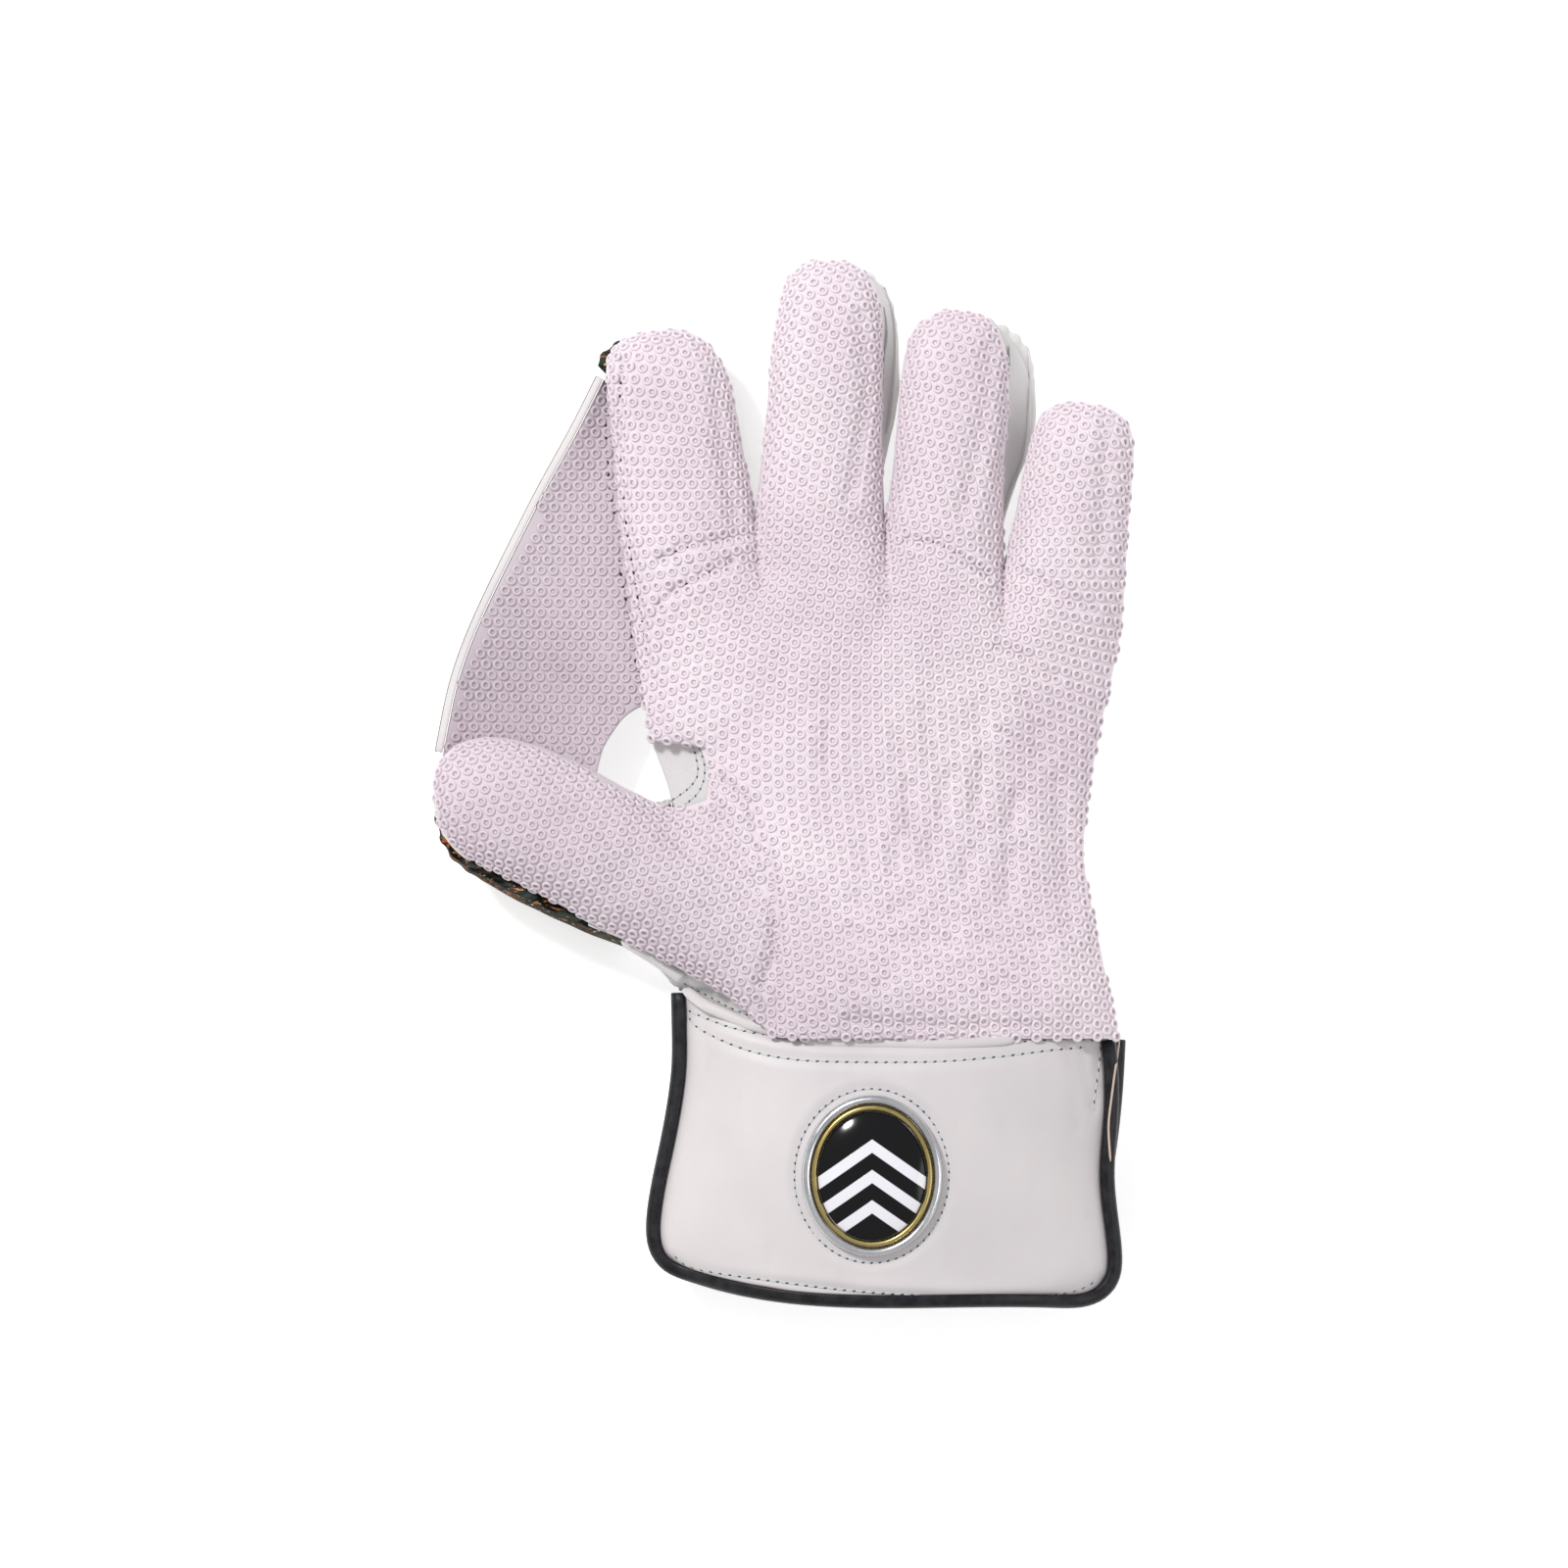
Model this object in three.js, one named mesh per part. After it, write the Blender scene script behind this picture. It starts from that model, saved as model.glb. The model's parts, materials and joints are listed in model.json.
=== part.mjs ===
// A wicketkeeping glove for the left hand, lying on its back with the palm up.
// Millimetres, +Z up, the fingers towards +Y and the thumb towards -X.
// A pimpled rubber facing covers the palm, the four fingers and the thumb. It lies as a lid over leather
// troughs: one for each finger and the thumb, and one for the back of the hand. A web joins index and thumb,
// and two padded cuff flaps with bound edges hang from the wrist.
import * as THREE from "three";

// Walls and clearances
const FACING = 3; // rubber facing with the leather under it
const BACK = 2.5; // leather of the finger, thumb and hand backs
const GUSSET = 1.5; // side strips between the fingers
const WEB = 3; // web, rubber on leather
const PATCH = 2; // crotch patch and wrist gusset
const CUFF = 6; // padded cuff flaps
const CUFF_EDGE = 3.6; // the same where they are bound
const GAP = 0.3; // clearance between sewn pieces
const EDGE_INSET = 0.8; // how far a trough's rim stays inside the facing's edge
const WEB_INSET = 4.6; // the same along the web, whose edge is sewn in under the facing

// Heights
const SEAM = 22; // the facing's edge above the floor, at the fingers
const CROWN = 11; // how far a finger's facing rises above its edge
const HEIGHT = 46; // top of the heel of the palm, which the height shares below are of
const CORNER = 15; // how far a trough's side takes to turn into its floor
const ROUND = 2.4; // exponent of that turn: 2 is an ellipse, more is squarer

// Palm
const PALM_WIDTH = 157.9;
const PALM_LENGTH = 152.1;
const PALM_START = new THREE.Vector2(-50.7, 72.2); // left end of the knuckle line

// Each finger: length as a share of FINGER_LENGTH, width at its root and along it as shares of PALM_WIDTH,
// slope of its root line, turn from +Y, and how far the left and right walls of its back lean to the right
// under the facing.
const FINGER_LENGTH = 82.7;
const FINGERS = [
  { name: "index", length: 0.792, root: 0.2717, width: 0.2565, slope: 15.8, turn: -7.3, lean: [0, 3] },
  { name: "middle", length: 1, root: 0.2603, width: 0.2318, slope: -4.3, turn: 2.4, lean: [5, 11.5] },
  { name: "ring", length: 0.902, root: 0.2495, width: 0.2179, slope: -18.7, turn: 3.2, lean: [9, 17.5] },
  { name: "little", length: 0.672, root: 0.2464, width: 0.2242, slope: -10.1, turn: 8, lean: [6, 4.5] },
];
const INDEX_HOOK = -2.6; // how far the index's tip bends sideways
// A gusset closes each side that faces another finger.
const hasGusset = (k, side) => (side === 0 ? k > 0 : k < FINGERS.length - 1);
// Sections of a finger: place along it, and shares of its width, seam height, crown and depth.
// split is the part of the quarter turn that the gusset takes.
const FINGER_SECTIONS = [
  { along: 0, width: 1.1, seam: 1, crown: 1, depth: 1, split: 0.34 },
  { along: 0.14, width: 1.06, seam: 1, crown: 0.98, depth: 1, split: 0.34 },
  { along: 0.3, width: 1.01, seam: 1, crown: 1, depth: 1, split: 0.34 },
  { along: 0.46, width: 0.99, seam: 1, crown: 1, depth: 1, split: 0.34 },
  { along: 0.62, width: 0.97, seam: 1, crown: 1, depth: 0.99, split: 0.33 },
  { along: 0.76, width: 0.94, seam: 0.99, crown: 0.97, depth: 0.97, split: 0.28 },
  { along: 0.87, width: 0.86, seam: 0.96, crown: 0.86, depth: 0.88, split: 0.17 },
  { along: 0.94, width: 0.71, seam: 0.92, crown: 0.66, depth: 0.7, split: 0.06 },
  { along: 0.98, width: 0.5, seam: 0.88, crown: 0.42, depth: 0.44, split: 0 },
  { along: 1, width: 0.28, seam: 0.85, crown: 0.18, depth: 0, split: 0 },
];
const GUSSET_ROWS = 8; // the gussets end in a point beside the fingertip
const GUSSET_CLIMB_ROW = 5; // the section from which their border climbs to it
// On the index the rim stands in along the web, and out at the tip under the guard.
const INDEX_RIM = [1, 1, 1, 1, 1, 0.85, -0.4, -0.45, -0.3, -0.16];
const ACROSS = [-1, -0.8, -0.42, 0, 0.42, 0.8, 1]; // points across a finger's facing

// Rows of the palm from the knuckles to the heel: both ends as shares of the palm's width and length from
// PALM_START, and their heights and the crown between them as shares of HEIGHT.
const PALM_ROWS = [
  { lx: 0, ly: 0, lz: 0.478, rx: 1, ry: 0.071, rz: 0.478, crown: 0.239 },
  { lx: 0.008, ly: 0.071, lz: 0.489, rx: 0.9975, ry: 0.12, rz: 0.478, crown: 0.261 },
  { lx: 0.019, ly: 0.1525, lz: 0.5, rx: 0.99, ry: 0.1755, rz: 0.478, crown: 0.272 },
  { lx: 0.029, ly: 0.2235, lz: 0.511, rx: 0.9785, ry: 0.238, rz: 0.478, crown: 0.261 },
  { lx: 0.0405, ly: 0.304, lz: 0.533, rx: 0.966, ry: 0.297, rz: 0.478, crown: 0.25 },
  { lx: 0.0545, ly: 0.388, lz: 0.565, rx: 0.952, ry: 0.356, rz: 0.478, crown: 0.239 },
  { lx: 0.152, ly: 0.4, lz: 0.63, rx: 0.939, ry: 0.4287, rz: 0.478, crown: 0.207 },
  { lx: 0.1735, ly: 0.4523, lz: 0.663, rx: 0.929, ry: 0.4944, rz: 0.478, crown: 0.196 },
  { lx: 0.164, ly: 0.511, lz: 0.674, rx: 0.9208, ry: 0.56, rz: 0.489, crown: 0.196 },
  { lx: 0.2128, ly: 0.598, lz: 0.739, rx: 0.9158, ry: 0.6226, rz: 0.5, crown: 0.185 },
  { lx: 0.2578, ly: 0.669, lz: 0.804, rx: 0.9234, ry: 0.6818, rz: 0.522, crown: 0.174 },
  { lx: 0.2907, ly: 0.74, lz: 0.859, rx: 0.9373, ry: 0.744, rz: 0.543, crown: 0.174 },
  { lx: 0.3103, ly: 0.811, lz: 0.902, rx: 0.9493, ry: 0.8067, rz: 0.565, crown: 0.196 },
  { lx: 0.3141, ly: 0.882, lz: 0.924, rx: 0.9607, ry: 0.869, rz: 0.598, crown: 0.217 },
  { lx: 0.3065, ly: 0.943, lz: 0.924, rx: 0.9747, ry: 0.935, rz: 0.63, crown: 0.217 },
  { lx: 0.3008, ly: 1, lz: 0.913, rx: 0.988, ry: 1.003, rz: 0.652, crown: 0.174 },
];
const THUMB_ROOT_ROW = 8; // the palm row where the thumb's facing branches off
const WEB_ROWS = 5; // palm rows along which the web is sewn in

// The left rim of the hand's back where it leaves the facing's edge: beside the crotch, under the root of the
// thumb and at the wrist. Shares as in the palm's rows, from row HAND_RIM_ROW on.
const HAND_RIM_ROW = 5;
const HAND_RIM = [
  { x: 0.062, y: 0.388, z: 0.395 },
  { x: 0.0646, y: 0.4155, z: 0.385 },
  { x: 0.0804, y: 0.458, z: 0.385 },
  { x: 0.0931, y: 0.501, z: 0.385 },
  { x: 0.1007, y: 0.557, z: 0.24 },
  { x: 0.1058, y: 0.619, z: 0.174 },
  { x: 0.1077, y: 0.682, z: 0.15 },
  { x: 0.109, y: 0.741, z: 0.16 },
  { x: 0.109, y: 0.797, z: 0.21 },
  { x: 0.109, y: 0.853, z: 0.31 },
  { x: 0.109, y: 0.906, z: 0.44 },
];
const SCALLOP_ROWS = 3; // rows over which the finger crowns fade into the palm

// Thumb: its edges as shares of the reach to the left of the crotch and of its span, with heights, crown and
// depth as shares of HEIGHT.
const THUMB_REACH = 85.7;
const THUMB_SPAN = 52;
const THUMB_ROWS = [
  { ux: 0.112, uy: -0.06, uz: 0.674, dx: -0.18, dy: -1.312, dz: 0.891, crown: 0.174, depth: 0.6 },
  { ux: 0.2124, uy: 0.0096, uz: 0.652, dx: -0.071, dy: -1.163, dz: 0.837, crown: 0.239, depth: 0.6 },
  { ux: 0.3127, uy: 0.096, uz: 0.641, dx: 0.0723, dy: -1.027, dz: 0.793, crown: 0.272, depth: 0.6 },
  { ux: 0.4107, uy: 0.192, uz: 0.641, dx: 0.2345, dy: -0.879, dz: 0.815, crown: 0.283, depth: 0.59 },
  { ux: 0.5158, uy: 0.279, uz: 0.652, dx: 0.3967, dy: -0.771, dz: 0.859, crown: 0.283, depth: 0.58 },
  { ux: 0.6324, uy: 0.356, uz: 0.674, dx: 0.5578, dy: -0.642, dz: 0.891, crown: 0.283, depth: 0.57 },
  { ux: 0.749, uy: 0.396, uz: 0.696, dx: 0.7025, dy: -0.523, dz: 0.913, crown: 0.272, depth: 0.55 },
  { ux: 0.8425, uy: 0.39, uz: 0.728, dx: 0.839, dy: -0.415, dz: 0.913, crown: 0.25, depth: 0.52 },
  { ux: 0.918, uy: 0.346, uz: 0.761, dx: 0.93, dy: -0.315, dz: 0.902, crown: 0.207, depth: 0.43 },
  { ux: 0.971, uy: 0.26, uz: 0.793, dx: 0.9825, dy: -0.196, dz: 0.87, crown: 0.13, depth: 0.28 },
  { ux: 0.9977, uy: 0.144, uz: 0.815, dx: 1, dy: -0.048, dz: 0.843, crown: 0.033, depth: 0 },
];
const THUMB_ACROSS = [-1, -0.8, -0.48, -0.16, 0.16, 0.48, 0.8, 1];
const THUMB_TURNS = 3; // rows over which the thumb's facing turns from the palm's plane into its own
// How far the thumb's trough stands in along the web, as a share of WEB_INSET
const THUMB_RIM = [0.3, 0.6, 0.9, 1, 1, 1, 1, 1, 1, 1, 0.4];
const THUMB_TIP_ROWS = 3; // ribs over which the trough draws back from the tip

// Web: its outer edge from the index tip to the thumb as shares of its length and width from WEB_START.
const WEB_START = new THREE.Vector2(-57, 127.3);
const WEB_WIDTH = 49.5;
const WEB_LENGTH = 119.7;
const WEB_EDGE = [
  { x: 0, y: 0, z: 0.38 },
  { x: 0.184, y: 0.152, z: 0.4 },
  { x: 0.37, y: 0.29, z: 0.43 },
  { x: 0.697, y: 0.561, z: 0.52 },
  { x: 0.859, y: 0.716, z: 0.6 },
  { x: 0.953, y: 0.845, z: 0.67 },
  { x: 0.99, y: 0.955, z: 0.71 },
];
// Its lower edge beside the through gap, from the palm to the thumb.
const WEB_GAP = [
  { x: -0.142, y: 0.878, z: 0.42 },
  { x: -0.062, y: 0.927, z: 0.45 },
  { x: 0.004, y: 0.968, z: 0.49 },
  { x: 0.024, y: 1.004, z: 0.54 },
];
const WEB_SAG = 2.5;
const WEB_ACROSS = 6; // spans between its two edges
const WEB_TUCK = 3.4; // how far its sewn edges reach under the facing
const WEB_FIRST_RIB = 3; // the thumb's rib at the web's outer edge is this one plus WEB_ACROSS
const WEB_BINDING = { width: 2.6, height: 5 };

// Cuff flaps: both edges of the bound flap as shares of CUFF_WIDTH from CUFF_LEFT, at shares of the way from
// the wrist to the mouth, with their heights and the crown between them as shares of HEIGHT.
const CUFF_LEFT = -42;
const CUFF_WIDTH = 146;
const CUFF_BINDING = { width: 4.3, height: 5.6 };
const CUFF_LENGTH = 83.5;
const CUFF_STEP = 1.1; // how far the flaps start below the palm's last row
const CUFF_TOP = PALM_START.y - PALM_LENGTH - CUFF_STEP; // the edge climbs to the left over CUFF_CLIMB
const CUFF_CLIMB = { rise: 15, reach: 0.24, power: 1.7 };
const CUFF_MOUTH = { left: 0.904, right: 1, middle: 0.989 }; // shares of CUFF_LENGTH
const CUFF_BACK_SHORT = 3.5; // how much shorter the back flap is
const CUFF_FRONT_ROWS = [
  { down: 0, left: 0.057, right: 0.985, lz: 0.522, rz: 0.587, crown: 0.413 },
  { down: 0.12, left: 0.058, right: 0.991, lz: 0.53, rz: 0.58, crown: 0.457 },
  { down: 0.26, left: 0.06, right: 0.993, lz: 0.535, rz: 0.57, crown: 0.478 },
  { down: 0.4, left: 0.05, right: 0.986, lz: 0.535, rz: 0.56, crown: 0.489 },
  { down: 0.55, left: 0.034, right: 0.98, lz: 0.53, rz: 0.55, crown: 0.489 },
  { down: 0.7, left: 0.014, right: 0.99, lz: 0.52, rz: 0.54, crown: 0.478 },
  { down: 0.83, left: 0.001, right: 1, lz: 0.51, rz: 0.53, crown: 0.467 },
  { down: 0.92, left: 0.003, right: 1, lz: 0.51, rz: 0.53, crown: 0.457 },
  { down: 0.975, left: 0.028, right: 0.978, lz: 0.52, rz: 0.54, crown: 0.446 },
  { down: 1, left: 0.075, right: 0.94, lz: 0.55, rz: 0.57, crown: 0.413 },
];
const CUFF_BACK_ROWS = [
  { down: 0, left: 0.057, right: 1.026, lz: 0.26, rz: 0.32 },
  { down: 0.14, left: 0.057, right: 1.023, lz: 0.25, rz: 0.3 },
  { down: 0.3, left: 0.058, right: 1.017, lz: 0.24, rz: 0.28 },
  { down: 0.46, left: 0.055, right: 1.007, lz: 0.23, rz: 0.26 },
  { down: 0.62, left: 0.045, right: 0.994, lz: 0.22, rz: 0.24 },
  { down: 0.78, left: 0.033, right: 0.985, lz: 0.21, rz: 0.22 },
  { down: 0.9, left: 0.03, right: 0.98, lz: 0.2, rz: 0.21 },
  { down: 0.97, left: 0.045, right: 0.96, lz: 0.19, rz: 0.2 },
  { down: 1, left: 0.085, right: 0.925, lz: 0.18, rz: 0.19 },
];
const CUFF_ACROSS = 14;

// Badge: an upright oval on the front flap
const BADGE_CENTRE = new THREE.Vector2(CUFF_LEFT + 0.475 * CUFF_WIDTH, CUFF_TOP - 0.503 * CUFF_LENGTH);
const BADGE_SIZE = new THREE.Vector2(44.4, 50.9);
const BADGE_RIM = { width: 2.6, height: 2.4 };
const BADGE_INNER_RIM = { width: 2, height: 2.1 };
const BADGE_DOME = { edge: 1.5, rise: 2.2, shoulder: 3, crown: 8 };
const BADGE_SIDES = 32;

const V = (x, y, z = 0) => new THREE.Vector3(x, y, z);
const UP = V(0, 0, 1);
const mix = THREE.MathUtils.lerp;
const ease = (t) => THREE.MathUtils.smoothstep(t, 0, 1);
const between = (a, b, t) => a.clone().lerp(b, t);
const moved = (p, direction, distance) => p.clone().addScaledVector(direction, distance);
const dome = (v) => Math.sqrt(Math.max(0, 1 - v * v));
const range = (n) => [...Array(n).keys()];

// Builds a closed wall from grids of outer points, each with its inner point. Grids meet where their outer
// points are the same, and every free edge gets a face that joins outer to inner.
class Wall {
  points = [];
  inner = [];
  faces = [];
  known = new Map();

  vertex(outer, inner) {
    const key = outer.toArray().map((c) => Math.round(c * 1000)).join();
    if (!this.known.has(key)) {
      this.known.set(key, this.points.length);
      this.points.push(outer);
      this.inner.push(inner);
    }
    return this.known.get(key);
  }

  grid(outer, inner) {
    const at = outer.map((row, i) => row.map((p, j) => this.vertex(p, inner[i][j])));
    for (let i = 0; i + 1 < at.length; i++)
      for (let j = 0; j + 1 < at[i].length; j++) {
        const [a, b, c, d] = [at[i][j], at[i][j + 1], at[i + 1][j + 1], at[i + 1][j]];
        this.faces.push([a, d, c], [a, c, b]);
      }
    return this;
  }

  geometry() {
    const n = this.points.length;
    const faces = this.faces.filter(([a, b, c]) => a !== b && b !== c && a !== c);
    const edges = new Set(faces.flatMap(([a, b, c]) => [`${a},${b}`, `${b},${c}`, `${c},${a}`]));
    const all = [...faces, ...faces.map(([a, b, c]) => [a + n, c + n, b + n])];
    for (const edge of edges) {
      const [a, b] = edge.split(",").map(Number);
      if (!edges.has(`${b},${a}`)) all.push([b, a, a + n], [b, a + n, b + n]);
    }
    return closedGeometry([...this.points, ...this.inner], all);
  }
}

// A BufferGeometry whose faces point out, whichever way the grid ran.
function closedGeometry(points, faces) {
  const volume = faces.reduce((sum, [a, b, c]) => {
    return sum + points[a].dot(points[b].clone().cross(points[c]));
  }, 0);
  const turned = volume < 0 ? faces.map(([a, b, c]) => [a, c, b]) : faces;
  const geometry = new THREE.BufferGeometry();
  geometry.setAttribute(
    "position",
    new THREE.Float32BufferAttribute(points.flatMap((p) => p.toArray()), 3),
  );
  geometry.setIndex(turned.flat());
  geometry.computeVertexNormals();
  return geometry;
}

const wall = (outer, inner) => new Wall().grid(outer, inner).geometry();

const glove = new THREE.Group();

function add(name, geometry, finish) {
  const mesh = new THREE.Mesh(geometry, new THREE.MeshStandardMaterial(finish));
  mesh.name = name;
  glove.add(mesh);
}

const RUBBER = { color: 0xe9dde4, roughness: 0.75, metalness: 0 };
const LEATHER = { color: 0xe4e1e2, roughness: 0.5, metalness: 0 };
const SUEDE = { color: 0xd9d6d3, roughness: 0.9, metalness: 0 };
const PRINT = { color: 0x23241f, roughness: 0.45, metalness: 0 };
const BINDING = { color: 0x1d1c20, roughness: 0.5, metalness: 0 };
const SILVER = { color: 0xbfc1c6, roughness: 0.25, metalness: 0.9 };
const GOLD = { color: 0xa88f4e, roughness: 0.35, metalness: 0.9 };
const ENAMEL = { color: 0x08080a, roughness: 0.1, metalness: 0 };

// The knuckle line: the ends of the four root lines, from the index's left side to the little finger's right.
const crotches = FINGERS.reduce(
  (line, f) => {
    const slope = THREE.MathUtils.degToRad(f.slope);
    const last = line.at(-1);
    const root = f.root * PALM_WIDTH;
    return [...line, V(last.x + root * Math.cos(slope), last.y + root * Math.sin(slope), SEAM)];
  },
  [V(PALM_START.x, PALM_START.y, SEAM)],
);
const knuckles = FINGERS.flatMap((f, k) =>
  ACROSS.slice(k ? 1 : 0).map((v) => {
    const p = between(crotches[k], crotches[k + 1], (v + 1) / 2);
    const across = (p.x - crotches[0].x) / (crotches[4].x - crotches[0].x);
    return { place: p, across, rise: CROWN * dome(v) };
  }),
);

// The knuckle line's y at an x, and how far it lies above the straight line between its ends.
function knuckleY(x) {
  const k = Math.max(0, Math.min(3, crotches.findIndex((c) => c.x >= x - 1e-9) - 1));
  const t = (x - crotches[k].x) / (crotches[k + 1].x - crotches[k].x);
  return mix(crotches[k].y, crotches[k + 1].y, t);
}

function knuckleArchAt(x) {
  const across = (x - crotches[0].x) / (crotches[4].x - crotches[0].x);
  return knuckleY(x) - mix(crotches[0].y, crotches[4].y, across);
}

// The palm's ends at a row, which may be a fraction.
function palmEnds(row) {
  const a = PALM_ROWS[Math.floor(row)];
  const b = PALM_ROWS[Math.min(Math.floor(row) + 1, PALM_ROWS.length - 1)];
  const t = row - Math.floor(row);
  const at = (key) => mix(a[key], b[key], t);
  return {
    left: V(PALM_START.x + at("lx") * PALM_WIDTH, PALM_START.y - at("ly") * PALM_LENGTH, at("lz") * HEIGHT),
    right: V(PALM_START.x + at("rx") * PALM_WIDTH, PALM_START.y - at("ry") * PALM_LENGTH, at("rz") * HEIGHT),
    crown: at("crown") * HEIGHT,
  };
}

function palmPoint(row, column) {
  const { place, across, rise } = knuckles[column];
  if (row === 0) return moved(place, UP, rise);
  const { left, right, crown } = palmEnds(row);
  const scallop = 1 - ease(row / SCALLOP_ROWS);
  const p = between(left, right, across);
  p.y += knuckleArchAt(mix(crotches[0].x, crotches[4].x, across)) * (1 - row / (PALM_ROWS.length - 1)) ** 2;
  const flat = 1 - Math.abs(2 * across - 1) ** 3;
  p.z += mix(crown * flat ** 0.7, rise, scallop);
  return p;
}

// A finger's frame at one of its sections, shortened at the tip by short.
function fingerFrame(k, section, short = 0, start = 0) {
  const f = FINGERS[k];
  const [a, b] = [crotches[k], crotches[k + 1]];
  const turn = THREE.MathUtils.degToRad(f.turn);
  const ahead = V(Math.sin(turn), Math.cos(turn));
  const level = V(Math.cos(turn), -Math.sin(turn));
  const root = b.clone().sub(a);
  const blend = ease(Math.min(1, section.along / 0.3));
  const lateral = between(root.clone().normalize(), level, blend).normalize();
  const widen = ease(Math.min(1, section.along / 0.2));
  const half = mix(root.length() / 2, (f.width / 2) * PALM_WIDTH * section.width, widen);
  const reach = f.length * FINGER_LENGTH - short - start;
  const centre = moved(between(a, b, 0.5), ahead, start + reach * section.along);
  if (k === 0) centre.addScaledVector(lateral, INDEX_HOOK * ease((section.along - 0.6) / 0.4));
  centre.z = SEAM * section.seam;
  return { centre, lateral, half };
}

function fingerFacing(k) {
  return FINGER_SECTIONS.map((section) => {
    const { centre, lateral, half } = fingerFrame(k, section);
    return ACROSS.map((v) => moved(moved(centre, lateral, half * v), UP, CROWN * section.crown * dome(v)));
  });
}

// The section of a trough between two rims: each side turns down into the floor over a quarter of a
// superellipse, of which the angles are given from the rim down.
function trough({ left, right, up, depth, lean = [0, 0], turns, floor = 1 }) {
  const across = right.clone().sub(left);
  const width = across.length();
  across.normalize();
  const reach = Math.min(CORNER, 0.46 * width);
  const side = (from, sign, turn, shift) => {
    const angle = (turn * Math.PI) / 2;
    const run = reach * (1 - Math.cos(angle) ** (2 / ROUND));
    const drop = Math.sin(angle) ** (2 / ROUND);
    const base = moved(from, across, sign * run);
    return moved(moved(base, up, -depth(base) * drop), across, shift * drop);
  };
  const ends = [side(left, 1, 1, lean[0]), side(right, -1, 1, lean[1])];
  return [
    ...turns[0].map((t) => side(left, 1, t, lean[0])),
    ...range(floor).map((j) => between(ends[0], ends[1], (j + 1) / (floor + 1))),
    ...turns[1].map((t) => side(right, -1, t, lean[1])).reverse(),
  ];
}

const TURNS = [0, 0.17, 0.34, 0.5, 0.66, 0.83, 1];
const splitTurns = (split) => [0, split / 2, split, ...[0.25, 0.5, 0.75, 1].map((t) => mix(split, 1, t))];
const LAST = 2 * TURNS.length; // index of a trough's last point
const SPLIT = 2; // index of the point where a gusset ends

// A finger's trough, moved in by inset from its outer surface.
function fingerTrough(k, inset) {
  const f = FINGERS[k];
  return FINGER_SECTIONS.map((section, i) => {
    const { centre, lateral, half } = fingerFrame(k, section, EDGE_INSET + inset, GAP);
    const rim = centre.z - FACING - GAP;
    const leftInset = k === 0 ? WEB_INSET * INDEX_RIM[i] : EDGE_INSET;
    const left = moved(centre, lateral, -(half - leftInset - inset));
    const right = moved(centre, lateral, half - EDGE_INSET - inset);
    left.z = right.z = rim;
    const turns = [0, 1].map((side) => (hasGusset(k, side) ? splitTurns(section.split) : TURNS));
    const grown = ease(Math.min(1, section.along / 0.5));
    const depth = () => (rim - inset) * section.depth;
    const lean = f.lean.map((shift) => shift * grown * section.depth);
    return trough({ left, right, up: UP, depth, lean, turns });
  });
}

// A back's border is lowered under its gussets, further where the border climbs to their points.
function lowered(row, columns, section) {
  const drop = section < GUSSET_CLIMB_ROW ? 1.2 * GAP : 2.5 * GAP;
  return row.map((p, j) => (columns.includes(j) ? moved(p, UP, -drop) : p));
}

function addFingerBack(k) {
  const f = FINGERS[k];
  const first = hasGusset(k, 0) ? SPLIT : 0;
  const last = hasGusset(k, 1) ? LAST - SPLIT : LAST;
  const bordered = [first || -1, last === LAST ? -1 : last];
  const cut = (grid) => grid.map((row, i) => lowered(row, bordered, i).slice(first, last + 1));
  const finish = k === 0 ? PRINT : LEATHER;
  add(`${f.name}_back`, wall(cut(fingerTrough(k, 0)), cut(fingerTrough(k, BACK))), finish);
}

function addGussets(k) {
  const f = FINGERS[k];
  const outer = fingerTrough(k, 0).slice(0, GUSSET_ROWS);
  const inner = fingerTrough(k, GUSSET).slice(0, GUSSET_ROWS);
  const strips = [["left", 0], ["right", LAST - SPLIT]];
  strips.forEach(([side, from], s) => {
    if (!hasGusset(k, s)) return;
    const cut = (grid) => grid.map((row) => row.slice(from, from + SPLIT + 1));
    add(`${f.name}_gusset_${side}`, wall(cut(outer), cut(inner)), LEATHER);
  });
}

// The thumb's ribs: upper and lower edge of its facing, the direction its facing looks, crown and depth.
const crotch = palmEnds(THUMB_ROOT_ROW).left;
const thumbRibs = THUMB_ROWS.map((row) => ({
  upper: V(crotch.x - row.ux * THUMB_REACH, crotch.y + row.uy * THUMB_SPAN, row.uz * HEIGHT),
  lower: V(crotch.x - row.dx * THUMB_REACH, crotch.y + row.dy * THUMB_SPAN, row.dz * HEIGHT),
  crown: row.crown * HEIGHT,
  depth: row.depth * HEIGHT,
}));
thumbRibs.forEach((rib, i) => {
  const near = thumbRibs[Math.max(0, i - 1)];
  const far = thumbRibs[Math.min(thumbRibs.length - 1, i + 1)];
  const ahead = between(far.upper, far.lower, 0.5).sub(between(near.upper, near.lower, 0.5));
  const own = ahead.cross(rib.lower.clone().sub(rib.upper)).normalize();
  rib.up = between(UP, own, Math.min(1, (i + 1) / THUMB_TURNS)).normalize();
});

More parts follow.
